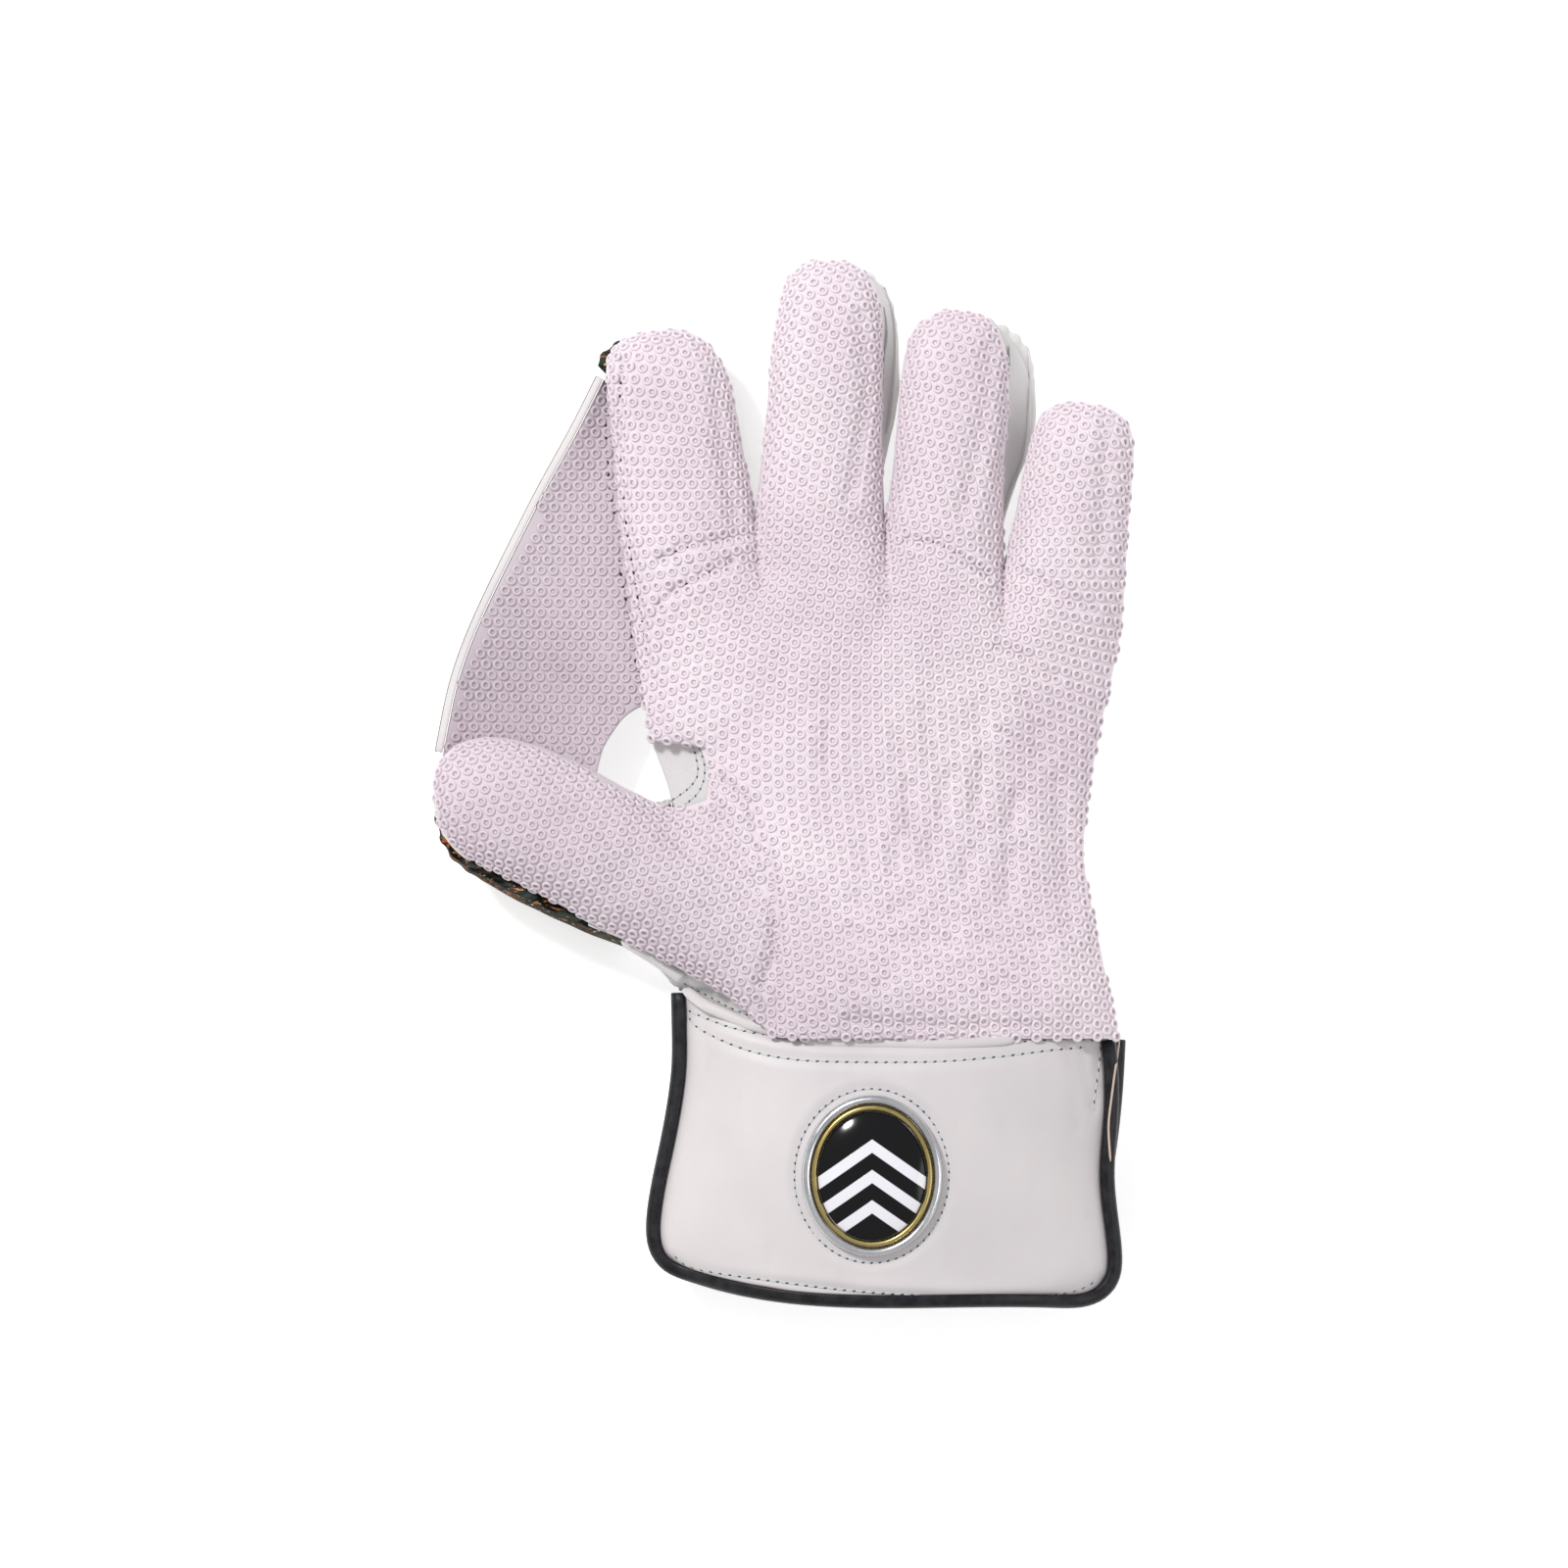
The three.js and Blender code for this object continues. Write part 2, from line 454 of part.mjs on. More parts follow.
function addFacing() {
  const facing = new Wall();
  const sunk = (grid) => grid.map((row) => row.map((p) => moved(p, UP, -FACING)));
  const palm = PALM_ROWS.map((_, row) => knuckles.map((_, column) => palmPoint(row, column)));
  facing.grid(palm, sunk(palm));
  FINGERS.forEach((_, k) => {
    const rows = fingerFacing(k).reverse();
    facing.grid(rows, sunk(rows));
  });
  const root = palm.slice(THUMB_ROOT_ROW).map((row) => row[0]);
  const rows = thumbRibs.map(({ upper, lower, up, crown }) =>
    THUMB_ACROSS.map((v) => moved(between(upper, lower, (v + 1) / 2), up, crown * dome(v))),
  );
  const ups = [UP, ...thumbRibs.map((rib) => rib.up)];
  const thumb = [root, ...rows];
  facing.grid(thumb, thumb.map((row, i) => row.map((p) => moved(p, ups[i], -FACING))));
  add("palm_facing", facing.geometry(), RUBBER);
}

// The hand's back. Its side columns turn down from the rims, and the columns between them follow the
// undersides of the finger troughs at the knuckle line and then lie flat.
const HAND_TURNS = [0, 0.17, 0.5, 0.83];
const HAND_PICKS = [[7, 9, 11], [3, 5, 7, 9, 11], [3, 5, 7, 9, 11], [3, 5, 7]];

function handEnds(row) {
  const { left, right } = palmEnds(row);
  const rim = HAND_RIM[row - HAND_RIM_ROW];
  const down = FACING + GAP;
  const inset = row < WEB_ROWS ? WEB_INSET : EDGE_INSET;
  const start = rim
    ? V(PALM_START.x + rim.x * PALM_WIDTH, PALM_START.y - rim.y * PALM_LENGTH, rim.z * HEIGHT)
    : V(left.x + inset, left.y, left.z - down);
  return { left: start, right: V(right.x - EDGE_INSET, right.y, right.z - down) };
}

function handKnuckles(inset) {
  const picks = [];
  HAND_PICKS.forEach((columns, k) => {
    const section = fingerTrough(k, inset)[0];
    if (k > 0) {
      const rim = SEAM - FACING - GAP;
      const ridge = inset ? rim : rim - BACK;
      picks.push(V(crotches[k].x, crotches[k].y, ridge));
    }
    picks.push(...columns.map((column) => section[column]));
  });
  return picks;
}

function handGrid(inset) {
  const ends = handEnds(0);
  const width = ends.right.x - ends.left.x;
  const floorColumns = handKnuckles(inset).map((p) => ({ across: (p.x - ends.left.x) / width, z: p.z }));
  return PALM_ROWS.map((_, row) => {
    const { left, right } = handEnds(row);
    const fade = 1 - ease(row / SCALLOP_ROWS);
    const arch = (1 - row / (PALM_ROWS.length - 1)) ** 2;
    const turned = trough({
      left: moved(left, V(1, 0), inset),
      right: moved(right, V(1, 0), -inset),
      up: UP,
      depth: (base) => base.z - inset,
      turns: [HAND_TURNS, HAND_TURNS],
    });
    const middle = floorColumns.map(({ across, z }) => {
      const p = between(left, right, across);
      const x = mix(crotches[0].x, crotches[4].x, (p.x - left.x) / (right.x - left.x));
      p.y = row === 0 ? knuckleY(p.x) : p.y + knuckleArchAt(x) * arch;
      p.z = mix(inset, z, fade);
      return p;
    });
    const n = HAND_TURNS.length;
    const sides = [turned.slice(0, n), turned.slice(n + 1)];
    if (row === 0) sides.flat().forEach((p) => (p.y = knuckleY(p.x)));
    return [...sides[0], ...middle, ...sides[1]];
  });
}

// The cut-out in the hand back's left side that the thumb's back grows from, at a row that may be a fraction.
function thumbMouth(row) {
  const low = Math.floor(row);
  const high = Math.min(low + 1, PALM_ROWS.length - 1);
  return between(handEnds(low).left, handEnds(high).left, row - low);
}

const MOUTH_ROWS = range(LAST + 1).map((j) =>
  mix(THUMB_ROOT_ROW, PALM_ROWS.length - 1, j / LAST),
);

function thumbTroughRims(inset) {
  const heel = thumbMouth(PALM_ROWS.length - 1);
  return thumbRibs.map((rib, i) => {
    const { up, depth } = rib;
    const fromTip = Math.max(0, i - (thumbRibs.length - 1 - THUMB_TIP_ROWS)) / THUMB_TIP_ROWS;
    const near = thumbRibs[Math.max(0, i - 1)];
    const back = between(near.upper, near.lower, 0.5).sub(between(rib.upper, rib.lower, 0.5)).normalize();
    const [upper, lower] = [rib.upper, rib.lower].map((p) => moved(p, back, (EDGE_INSET + inset) * fromTip));
    const across = lower.clone().sub(upper).normalize();
    const down = -(FACING + GAP);
    const webInset = WEB_INSET * THUMB_RIM[i];
    const left = moved(moved(upper, up, down), across, webInset + inset);
    let right = moved(moved(lower, up, down), across, -EDGE_INSET - inset);
    if (i < THUMB_TURNS) right = moved(heel, across, -inset);
    return { left, right, up, depth: depth - inset };
  });
}

function thumbTrough(inset) {
  const rims = thumbTroughRims(inset);
  const open = rims[THUMB_TURNS];
  rims.forEach((rim, i) => {
    if (i < THUMB_TURNS) rim.right = between(rim.right, open.right, i / THUMB_TURNS);
  });
  const mouth = MOUTH_ROWS.map((row) => moved(thumbMouth(row), V(-1, 0), GAP));
  const inner = mouth.map((p, j) => {
    if (j === 0) return moved(p, V(0, -1), inset);
    if (j === LAST) return moved(p, V(0, 1), inset);
    const along = mouth[j + 1].clone().sub(mouth[j - 1]);
    return moved(p, V(1, 0).cross(along).normalize(), -inset);
  });
  return [
    inset ? inner : mouth,
    ...rims.slice(1).map(({ left, right, up, depth: most }) => {
      const depth = (base) => Math.min(most, (base.z - inset) / up.z);
      return trough({ left, right, up, depth, turns: [TURNS, TURNS] });
    }),
  ];
}

// Cuff flaps
function rowAt(rows, down) {
  const i = Math.max(0, rows.findIndex((row) => row.down >= down) - 1);
  const t = (down - rows[i].down) / (rows[i + 1].down - rows[i].down);
  return (key) => mix(rows[i][key], rows[i + 1][key], t);
}

const cuffTop = (across) =>
  CUFF_TOP + CUFF_CLIMB.rise * Math.max(0, 1 - across / CUFF_CLIMB.reach) ** CUFF_CLIMB.power;
const cuffMouth = (across) => {
  const ends = mix(CUFF_MOUTH.left, CUFF_MOUTH.right, across);
  const share = mix(ends, CUFF_MOUTH.middle, 1 - (2 * across - 1) ** 2);
  return CUFF_TOP - share * CUFF_LENGTH + CUFF_BINDING.width + GAP;
};
const cuffArch = (across) => (1 - Math.abs(2 * across - 1) ** 2.6) ** 0.8;

function flapEnds(rows, down) {
  const at = rowAt(rows, down);
  const bound = CUFF_BINDING.width + GAP;
  return {
    left: CUFF_LEFT + at("left") * CUFF_WIDTH + bound,
    right: CUFF_LEFT + at("right") * CUFF_WIDTH - bound,
    at,
  };
}

function frontPoint(across, down) {
  const { left, right, at } = flapEnds(CUFF_FRONT_ROWS, down);
  const side = mix(at("lz"), at("rz"), across);
  return V(
    mix(left, right, across),
    mix(cuffTop(across), cuffMouth(across), down),
    HEIGHT * (side + at("crown") * cuffArch(across)),
  );
}

// Padding is full in the middle of a flap and thins to its bound edges.
function padding(across, down) {
  const edge = Math.min(1, 5 * Math.min(across, 1 - across), 6 * (1 - down), 0.4 + 5 * down);
  return mix(CUFF_EDGE, CUFF, ease(edge));
}

function addCuffFront() {
  const columns = range(CUFF_ACROSS + 1).map((j) => j / CUFF_ACROSS);
  const outer = CUFF_FRONT_ROWS.map(({ down }) => columns.map((across) => frontPoint(across, down)));
  const inner = CUFF_FRONT_ROWS.map(({ down }, i) =>
    columns.map((across, j) => moved(outer[i][j], UP, -padding(across, down))),
  );
  add("cuff_front", wall(outer, inner), LEATHER);
  add("cuff_front_binding", bead(flapBorder(outer), CUFF_BINDING, CUFF_EDGE), BINDING);
}

function backRow({ down, lz, rz }, inset) {
  const { left, right } = flapEnds(CUFF_BACK_ROWS, down);
  const wrist = handEnds(PALM_ROWS.length - 1);
  const y = (x) => {
    const top = mix(wrist.left.y, wrist.right.y, (x - wrist.left.x) / (wrist.right.x - wrist.left.x));
    const mouth = cuffMouth((x - left) / (right - left)) + CUFF_BACK_SHORT;
    return mix(top - 2 * GAP, mouth, down);
  };
  const section = trough({
    left: V(left + inset, 0, lz * HEIGHT),
    right: V(right - inset, 0, rz * HEIGHT),
    up: UP,
    depth: (base) => base.z - inset,
    turns: [TURNS, TURNS],
    floor: 5,
  });
  section.forEach((p) => (p.y = y(p.x)));
  return section;
}

function addCuffBack() {
  const outer = CUFF_BACK_ROWS.map((row) => backRow(row, 0));
  const inner = CUFF_BACK_ROWS.map((row) => backRow(row, CUFF_EDGE));
  add("cuff_back", wall(outer, inner), LEATHER);
  const border = flapBorder(outer).map((p) => V(p.x, p.y, Math.max(p.z - 1, CUFF_BINDING.height / 2)));
  add("cuff_back_binding", bead(border, CUFF_BINDING, 0), BINDING);
}

// The bound border of a flap: down its left side, along the mouth and up its right side.
function flapBorder(grid) {
  return [
    ...grid.map((row) => row[0]),
    ...grid.at(-1).slice(1, -1),
    ...grid.map((row) => row.at(-1)).reverse(),
  ];
}

// A bead beside a path that runs anticlockwise seen from above. Its flat inner face stands GAP off the path.
const BEAD = [[0, -0.5], [0.55, -0.5], [0.9, -0.3], [1, 0], [0.9, 0.3], [0.55, 0.5], [0, 0.5]];

function bead(path, size, thickness) {
  const rings = path.map((p, i) => {
    const sides = [i - 1, i].map((k) => {
      const start = Math.min(path.length - 2, Math.max(0, k));
      const along = path[start + 1].clone().sub(path[start]);
      return V(along.y, -along.x).normalize();
    });
    const out = sides[0].clone().add(sides[1]).divideScalar(1 + sides[0].dot(sides[1]));
    const middle = moved(p, UP, -thickness / 2);
    return BEAD.map(([w, h]) => moved(moved(middle, out, GAP + w * size.width), UP, h * size.height));
  });
  const n = BEAD.length;
  const faces = [];
  rings.slice(1).forEach((_, i) => {
    range(n).forEach((j) => {
      const [a, b] = [i * n + j, i * n + ((j + 1) % n)];
      faces.push([a, b, b + n], [a, b + n, a + n]);
    });
  });
  const last = (rings.length - 1) * n;
  range(n - 2).forEach((j) => faces.push([0, j + 2, j + 1], [last, last + j + 1, last + j + 2]));
  return closedGeometry(rings.flat(), faces);
}

// Web
function webRight() {
  const finger = fingerFacing(0).map((row) => row[0]);
  const index = [5, 4, 3, 2, 1].map((i) => finger[i]);
  const palm = range(WEB_ROWS).map((row) => palmPoint(row, 0));
  const sewn = [...index, ...palm].map((p) => V(p.x + WEB_TUCK, p.y, p.z - FACING - 2 * GAP));
  return [...sewn, ...WEB_GAP.map(webShare)];
}

const webShare = ({ x, y, z }) =>
  V(WEB_START.x - x * WEB_WIDTH, WEB_START.y - y * WEB_LENGTH, z * HEIGHT);

function thumbSewn(i) {
  const { upper, lower, up } = thumbRibs[i];
  const across = lower.clone().sub(upper).normalize();
  return moved(moved(upper, up, -(FACING + 2 * GAP)), across, WEB_TUCK);
}

function addWeb() {
  const right = webRight();
  const last = right.length;
  const edge = new THREE.CatmullRomCurve3(WEB_EDGE.map(webShare), false, "catmullrom", 0.5);
  const sewn = range(WEB_ACROSS + 1).map((j) => thumbSewn(WEB_FIRST_RIB + j));
  const rows = right.map((start, i) => {
    const end = edge.getPointAt(i / last);
    return range(WEB_ACROSS + 1).map((j) => {
      const t = j / WEB_ACROSS;
      const p = between(start, end, t);
      p.z -= WEB_SAG * 4 * t * (1 - t);
      const bow = sewn[j].clone().sub(between(sewn[0], sewn[WEB_ACROSS], t));
      return moved(p, bow, (i / last) ** 4);
    });
  });
  const outer = [...rows, sewn];
  add("web_panel", wall(outer, outer.map((row) => row.map((p) => moved(p, UP, -WEB)))), RUBBER);
  const path = rows.map((row) => row.at(-1));
  path.push(between(path.at(-1), sewn.at(-1), 0.7));
  add("web_binding", bead(path, WEB_BINDING, WEB), LEATHER);
}

// The crotch patch, sewn in under the notch of the facing and lying on the hand back's rim.
function addCrotchPatch() {
  const under = (p, more = 0) => moved(p, UP, -(FACING + GAP + more));
  const palmRow = (row) => {
    const right = [palmPoint(row, 1), palmPoint(row, 0)].map((p) => under(p, GAP));
    const left = moved(handEnds(row).left, UP, PATCH + GAP);
    return [...right, between(right[1], left, 0.5), left];
  };
  const top = [3, 2, 1, 0].map((column) => under(palmPoint(WEB_ROWS, column), GAP + 1.5));
  const rib = thumbRibs[0];
  const ends = [
    under(between(palmPoint(8, 0), palmPoint(9, 0), 0.4), 3),
    under(between(rib.upper, rib.lower, 0.07), 1.5),
  ];
  const bottom = range(4).map((j) => between(ends[0], ends[1], j / 3));
  const outer = [top, palmRow(6), palmRow(7), palmRow(8), bottom];
  add("crotch_patch", wall(outer, outer.map((row) => row.map((p) => moved(p, UP, -PATCH)))), SUEDE);
}

// The wrist gusset: a strip between the thumb's facing, its back and the front flap.
function addWristGusset() {
  const under = ({ lower, upper, up }) => {
    const across = upper.clone().sub(lower).normalize();
    return moved(moved(lower, up, -(FACING + GAP + 0.3)), across, 2.5);
  };
  const rims = thumbTroughRims(0);
  const heel = thumbMouth(PALM_ROWS.length - 1);
  const open = rims[THUMB_TURNS].right;
  const above = (p) => moved(p, UP, PATCH + GAP);
  const beside = (across) => {
    const p = frontPoint(across, 0);
    return V(p.x, p.y + 0.5, p.z - 1);
  };
  const corner = palmPoint(PALM_ROWS.length - 1, 0);
  const inner = [
    under(thumbRibs[2]),
    between(under(thumbRibs[2]), under(thumbRibs[1]), 0.5),
    under(thumbRibs[1]),
    between(under(thumbRibs[1]), under(thumbRibs[0]), 0.5),
    under(thumbRibs[0]),
    V(corner.x + 1, corner.y + 0.6, corner.z - FACING - GAP - 0.5),
  ];
  const outer = [
    above(between(heel, open, 2 / 3)),
    above(between(heel, open, 1 / 3)),
    above(moved(heel, V(0, 1), 0.4)),
    beside(0),
    beside(1 / CUFF_ACROSS),
    beside(3 / CUFF_ACROSS),
  ];
  const rows = [inner, outer];
  add("wrist_gusset", wall(rows, rows.map((row) => row.map((p) => moved(p, UP, -PATCH)))), SUEDE);
}

// Badge
function onCuff(x, y) {
  let across = (x - CUFF_LEFT) / CUFF_WIDTH;
  let down = 0.5;
  range(6).forEach(() => {
    down = (y - cuffTop(across)) / (cuffMouth(across) - cuffTop(across));
    const ends = flapEnds(CUFF_FRONT_ROWS, down);
    across = (x - ends.left) / (ends.right - ends.left);
  });
  return frontPoint(across, down);
}

const badgeCentre = (height) => moved(onCuff(BADGE_CENTRE.x, BADGE_CENTRE.y), UP, 2 * GAP + height);

function ovalRing(inset, height) {
  return range(BADGE_SIDES).map((k) => {
    const angle = (2 * Math.PI * k) / BADGE_SIDES;
    const x = BADGE_CENTRE.x + (BADGE_SIZE.x / 2 - inset) * Math.cos(angle);
    const y = BADGE_CENTRE.y + (BADGE_SIZE.y / 2 - inset) * Math.sin(angle);
    return moved(onCuff(x, y), UP, 2 * GAP + height);
  });
}

// Rings of equal count joined one to the next. They close on themselves, or on a point below and above.
function ringed(rings, below, above) {
  const n = BADGE_SIDES;
  const faces = [];
  const join = (a, b) =>
    range(n).forEach((j) => {
      const k = (j + 1) % n;
      faces.push([a * n + j, a * n + k, b * n + k], [a * n + j, b * n + k, b * n + j]);
    });
  range(rings.length - 1).forEach((i) => join(i, i + 1));
  const points = rings.flat();
  if (below) {
    const last = (rings.length - 1) * n;
    points.push(below, above);
    range(n).forEach((j) => {
      const k = (j + 1) % n;
      faces.push([points.length - 2, k, j], [points.length - 1, last + j, last + k]);
    });
  } else join(rings.length - 1, 0);
  return closedGeometry(points, faces);
}

function addBadge() {
  const rim = (inset, { width, height }) => [
    ovalRing(inset, 0),
    ovalRing(inset, 0.7 * height),
    ovalRing(inset + 0.3 * width, height),
    ovalRing(inset + 0.7 * width, height),
    ovalRing(inset + width, 0.7 * height),
    ovalRing(inset + width, 0),
  ];
  add("badge_rim", ringed(rim(0, BADGE_RIM)), SILVER);
  const second = BADGE_RIM.width + GAP;
  add("badge_gold_rim", ringed(rim(second, BADGE_INNER_RIM)), GOLD);
  const third = second + BADGE_INNER_RIM.width + GAP;
  const { edge, rise, shoulder, crown } = BADGE_DOME;
  const dome = [
    ovalRing(third + crown, 0),
    ovalRing(third, 0),
    ovalRing(third, edge),
    ovalRing(third + shoulder, edge + 0.45 * rise),
    ovalRing(third + crown, edge + 0.85 * rise),
  ];
  add("badge_dome", ringed(dome, badgeCentre(0), badgeCentre(edge + rise)), ENAMEL);
}

addFacing();
FINGERS.forEach((_, k) => {
  addFingerBack(k);
  addGussets(k);
});
add("hand_back", wall(handGrid(0), handGrid(BACK)), LEATHER);
add("thumb_back", wall(thumbTrough(0), thumbTrough(BACK)), PRINT);
addWeb();
addCrotchPatch();
addWristGusset();
addCuffFront();
addCuffBack();
addBadge();

// The origin is under the middle of the glove, on the surface that it lies on.
const box = new THREE.Box3().setFromObject(glove);
const centre = box.getCenter(V(0, 0));
glove.position.set(-centre.x, -centre.y, -box.min.z);

export default glove;
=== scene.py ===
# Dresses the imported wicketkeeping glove: smooth skins over its solids, a pimpled rubber facing, stitch rows,
# bindings and a badge, on a pale floor under soft light.
import json
import math
import random

import bmesh
import bpy
import numpy as np
from mathutils import Matrix, Vector, noise
from mathutils.bvhtree import BVHTree
from mathutils.geometry import barycentric_transform
from mathutils.kdtree import KDTree


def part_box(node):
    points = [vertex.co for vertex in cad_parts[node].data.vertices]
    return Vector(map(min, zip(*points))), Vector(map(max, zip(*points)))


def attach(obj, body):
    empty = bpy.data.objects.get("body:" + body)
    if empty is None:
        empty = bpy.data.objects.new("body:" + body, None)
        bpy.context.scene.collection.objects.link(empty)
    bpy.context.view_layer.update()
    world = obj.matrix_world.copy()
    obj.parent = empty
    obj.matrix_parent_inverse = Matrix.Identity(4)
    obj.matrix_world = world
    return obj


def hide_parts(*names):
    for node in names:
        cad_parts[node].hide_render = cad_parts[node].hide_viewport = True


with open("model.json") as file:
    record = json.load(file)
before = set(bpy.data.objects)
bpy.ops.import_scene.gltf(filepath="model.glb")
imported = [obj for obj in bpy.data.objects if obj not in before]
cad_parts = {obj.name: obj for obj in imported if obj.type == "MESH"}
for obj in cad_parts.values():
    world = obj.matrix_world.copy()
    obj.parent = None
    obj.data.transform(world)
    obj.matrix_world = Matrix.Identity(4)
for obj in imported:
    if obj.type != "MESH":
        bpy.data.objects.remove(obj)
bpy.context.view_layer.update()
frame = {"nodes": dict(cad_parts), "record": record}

MM = 0.001
WELD = 0.01 * MM  # points closer than this are one
UP = Vector((0, 0, 1))
NODES = frame["nodes"]
SLOT_OF = {part["node"]: part["material_slot"] for part in frame["record"]["subparts"]}

# Where the photograph's pixels lie in the row frame: millimetres per pixel and the pixel over the origin.
# Paths below are lists of its pixels. The image is IMAGE pixels wide.
IMAGE = 1600
PIXEL = 0.3084
CENTRE_PIXEL = (800.7, 798.0)


def at(px, py):
    """The plan place of a pixel of the photograph, in metres."""
    return Vector(((px - CENTRE_PIXEL[0]) * PIXEL * MM, (CENTRE_PIXEL[1] - py) * PIXEL * MM, 0))


def pixel_of(place):
    """The pixel of the photograph that a place lies under."""
    return place.x / (PIXEL * MM) + CENTRE_PIXEL[0], CENTRE_PIXEL[1] - place.y / (PIXEL * MM)


# Materials
# Sockets of a Mix node in its colour mode
MIX_FACTOR, MIX_A, MIX_B, MIX_RESULT = 0, 6, 7, 2


class Finish:
    """A node material with one Principled shader. Its helpers add nodes and give back their outputs."""

    def __init__(self, name, **sockets):
        self.material = bpy.data.materials.new(name)
        self.material.use_nodes = True
        self.tree = self.material.node_tree
        self.shader = self.tree.nodes["Principled BSDF"]
        self.place = self.add("ShaderNodeTexCoord").outputs["Object"]
        for socket, value in sockets.items():
            self.set(self.shader, socket.replace("_", " "), value)

    def set(self, node, socket, value):
        if isinstance(value, bpy.types.NodeSocket):
            self.tree.links.new(value, node.inputs[socket])
        elif hasattr(value, "__len__") and len(value) == 3 and node.inputs[socket].type == "RGBA":
            node.inputs[socket].default_value = (*value, 1)
        else:
            node.inputs[socket].default_value = value

    def add(self, kind, settings=(), **sockets):
        node = self.tree.nodes.new(kind)
        for key, value in dict(settings).items():
            setattr(node, key, value)
        for socket, value in sockets.items():
            self.set(node, socket.replace("_", " "), value)
        return node

    def noise(self, scale, detail=3, roughness=0.5, place=None, distortion=0):
        """Cloudy noise between 0 and 1."""
        node = self.add("ShaderNodeTexNoise", Scale=scale, Detail=detail, Roughness=roughness,
                        Distortion=distortion, Vector=place or self.place)
        return node.outputs["Fac"]

    def pores(self, scale):
        """Small cells with sunken borders, as leather has."""
        node = self.add("ShaderNodeTexVoronoi", {"feature": "DISTANCE_TO_EDGE"}, Scale=scale,
                        Vector=self.place)
        return node.outputs["Distance"]

    def clouded(self, light, shade, scale, detail, to):
        """Two close colours in broad clouds, and the clouds."""
        broad = self.noise(scale, detail)
        return self.over(broad, 0.35, to, light, shade), broad

    def stretched(self, x, y, z):
        """The place, scaled differently along each axis."""
        return self.add("ShaderNodeMapping", Vector=self.place, Scale=(x, y, z)).outputs[0]

    def ramp(self, factor, *stops):
        """A colour ramp through (position, grey or colour) stops."""
        node = self.add("ShaderNodeValToRGB", Fac=factor)
        ramp = node.color_ramp
        while len(ramp.elements) < len(stops):
            ramp.elements.new(0.5)
        for element, (position, colour) in zip(ramp.elements, stops):
            element.position = position
            element.color = (*colour, 1) if hasattr(colour, "__len__") else (colour, colour, colour, 1)
        return node.outputs["Color"]

    def mix(self, factor, a, b, blend="MIX"):
        """Colour b over colour a by a factor."""
        node = self.add("ShaderNodeMix", {"data_type": "RGBA", "blend_type": blend})
        for index, value in ((MIX_FACTOR, factor), (MIX_A, a), (MIX_B, b)):
            self.set(node, index, value)
        return node.outputs[MIX_RESULT]

    def over(self, factor, low, high, under, colour, share=1):
        """A colour over another where a factor rises from low to high, at most by a share."""
        return self.mix(self.ramp(factor, (low, 0), (high, share)), under, colour)

    def maths(self, operation, a, b):
        """One step of arithmetic on two values or sockets."""
        node = self.add("ShaderNodeMath", {"operation": operation})
        for index, value in enumerate((a, b)):
            self.set(node, index, value)
        return node.outputs[0]

    def bump(self, *layers):
        """Bump from (height, strength, distance in millimetres) layers, one over the other."""
        normal = None
        for height, strength, distance in layers:
            node = self.add("ShaderNodeBump", Height=height, Strength=strength, Distance=distance * MM)
            if normal:
                self.set(node, "Normal", normal)
            normal = node.outputs[0]
        self.set(self.shader, "Normal", normal)

    def paint(self, colour=None, roughness=None):
        if colour:
            self.set(self.shader, "Base Color", colour)
        if roughness:
            self.set(self.shader, "Roughness", roughness)
        return self.material


# The rubber darkens towards the thumb with painted shade: along x + SLANT * y, from one place to another, in
# metres
SLANT = 0.9
DARKENS_FROM, DARKENS_TO = -0.013, -0.075
THUMB_PAINTED_SHADE = (0.87, 0.86, 0.87)


def darkened(finish, colour):
    """A colour, greyer towards the thumb: painted shade."""
    split = finish.add("ShaderNodeSeparateXYZ", Vector=finish.place).outputs
    lean = finish.maths("ADD", split["X"], finish.maths("MULTIPLY", split["Y"], SLANT))
    share = finish.maths("DIVIDE", finish.maths("SUBTRACT", DARKENS_FROM, lean), DARKENS_FROM - DARKENS_TO)
    # painted shade over the thumb's rubber
    thumb_shade = finish.over(share, 0, 1, (1, 1, 1), THUMB_PAINTED_SHADE)
    return finish.mix(1.0, colour, thumb_shade, "MULTIPLY")


def rubber_finish(name, light, shade, painted_ring_shade=None):
    """Matt rubber with broad patches and painted shade towards the thumb. The sheet is speckled, and rings are
    darker in their wells and round their feet, which is painted shade.
    """
    finish = Finish(name, Specular_IOR_Level=0.32)
    colour, broad = finish.clouded(light, shade, 22, 4, 0.7)
    speckle = finish.noise(900, 2)
    if painted_ring_shade:
        # painted shade in the rings' wells and round their feet
        depth = finish.add("ShaderNodeAttribute", {"attribute_name": "painted_ring_shade"}).outputs["Fac"]
        finish.bump((speckle, 0.2, 0.1))
        colour = finish.mix(depth, darkened(finish, colour), painted_ring_shade)
        return finish.paint(colour, finish.ramp(broad, (0.3, 0.55), (0.7, 0.7)))
    colour = finish.over(speckle, 0.55, 0.8, colour, shade, 0.35)
    finish.bump((speckle, 0.25, 0.12))
    return finish.paint(darkened(finish, colour), finish.ramp(broad, (0.3, 0.62), (0.7, 0.78)))


def leather_finish(name, light, shade):
    """Satin leather with pores and soft wrinkles."""
    finish = Finish(name, Specular_IOR_Level=0.4)
    colour, _ = finish.clouded(light, shade, 14, 4, 0.68)
    wrinkles = finish.noise(70, 5, 0.6, finish.stretched(1, 0.45, 1), 0.6)
    pores = finish.pores(1400)
    colour = finish.mix(finish.ramp(wrinkles, (0.28, 0.5), (0.42, 0)), colour, shade)
    finish.bump((pores, 0.35, 0.12), (wrinkles, 0.3, 0.6))
    return finish.paint(colour, finish.ramp(wrinkles, (0.3, 0.42), (0.7, 0.56)))


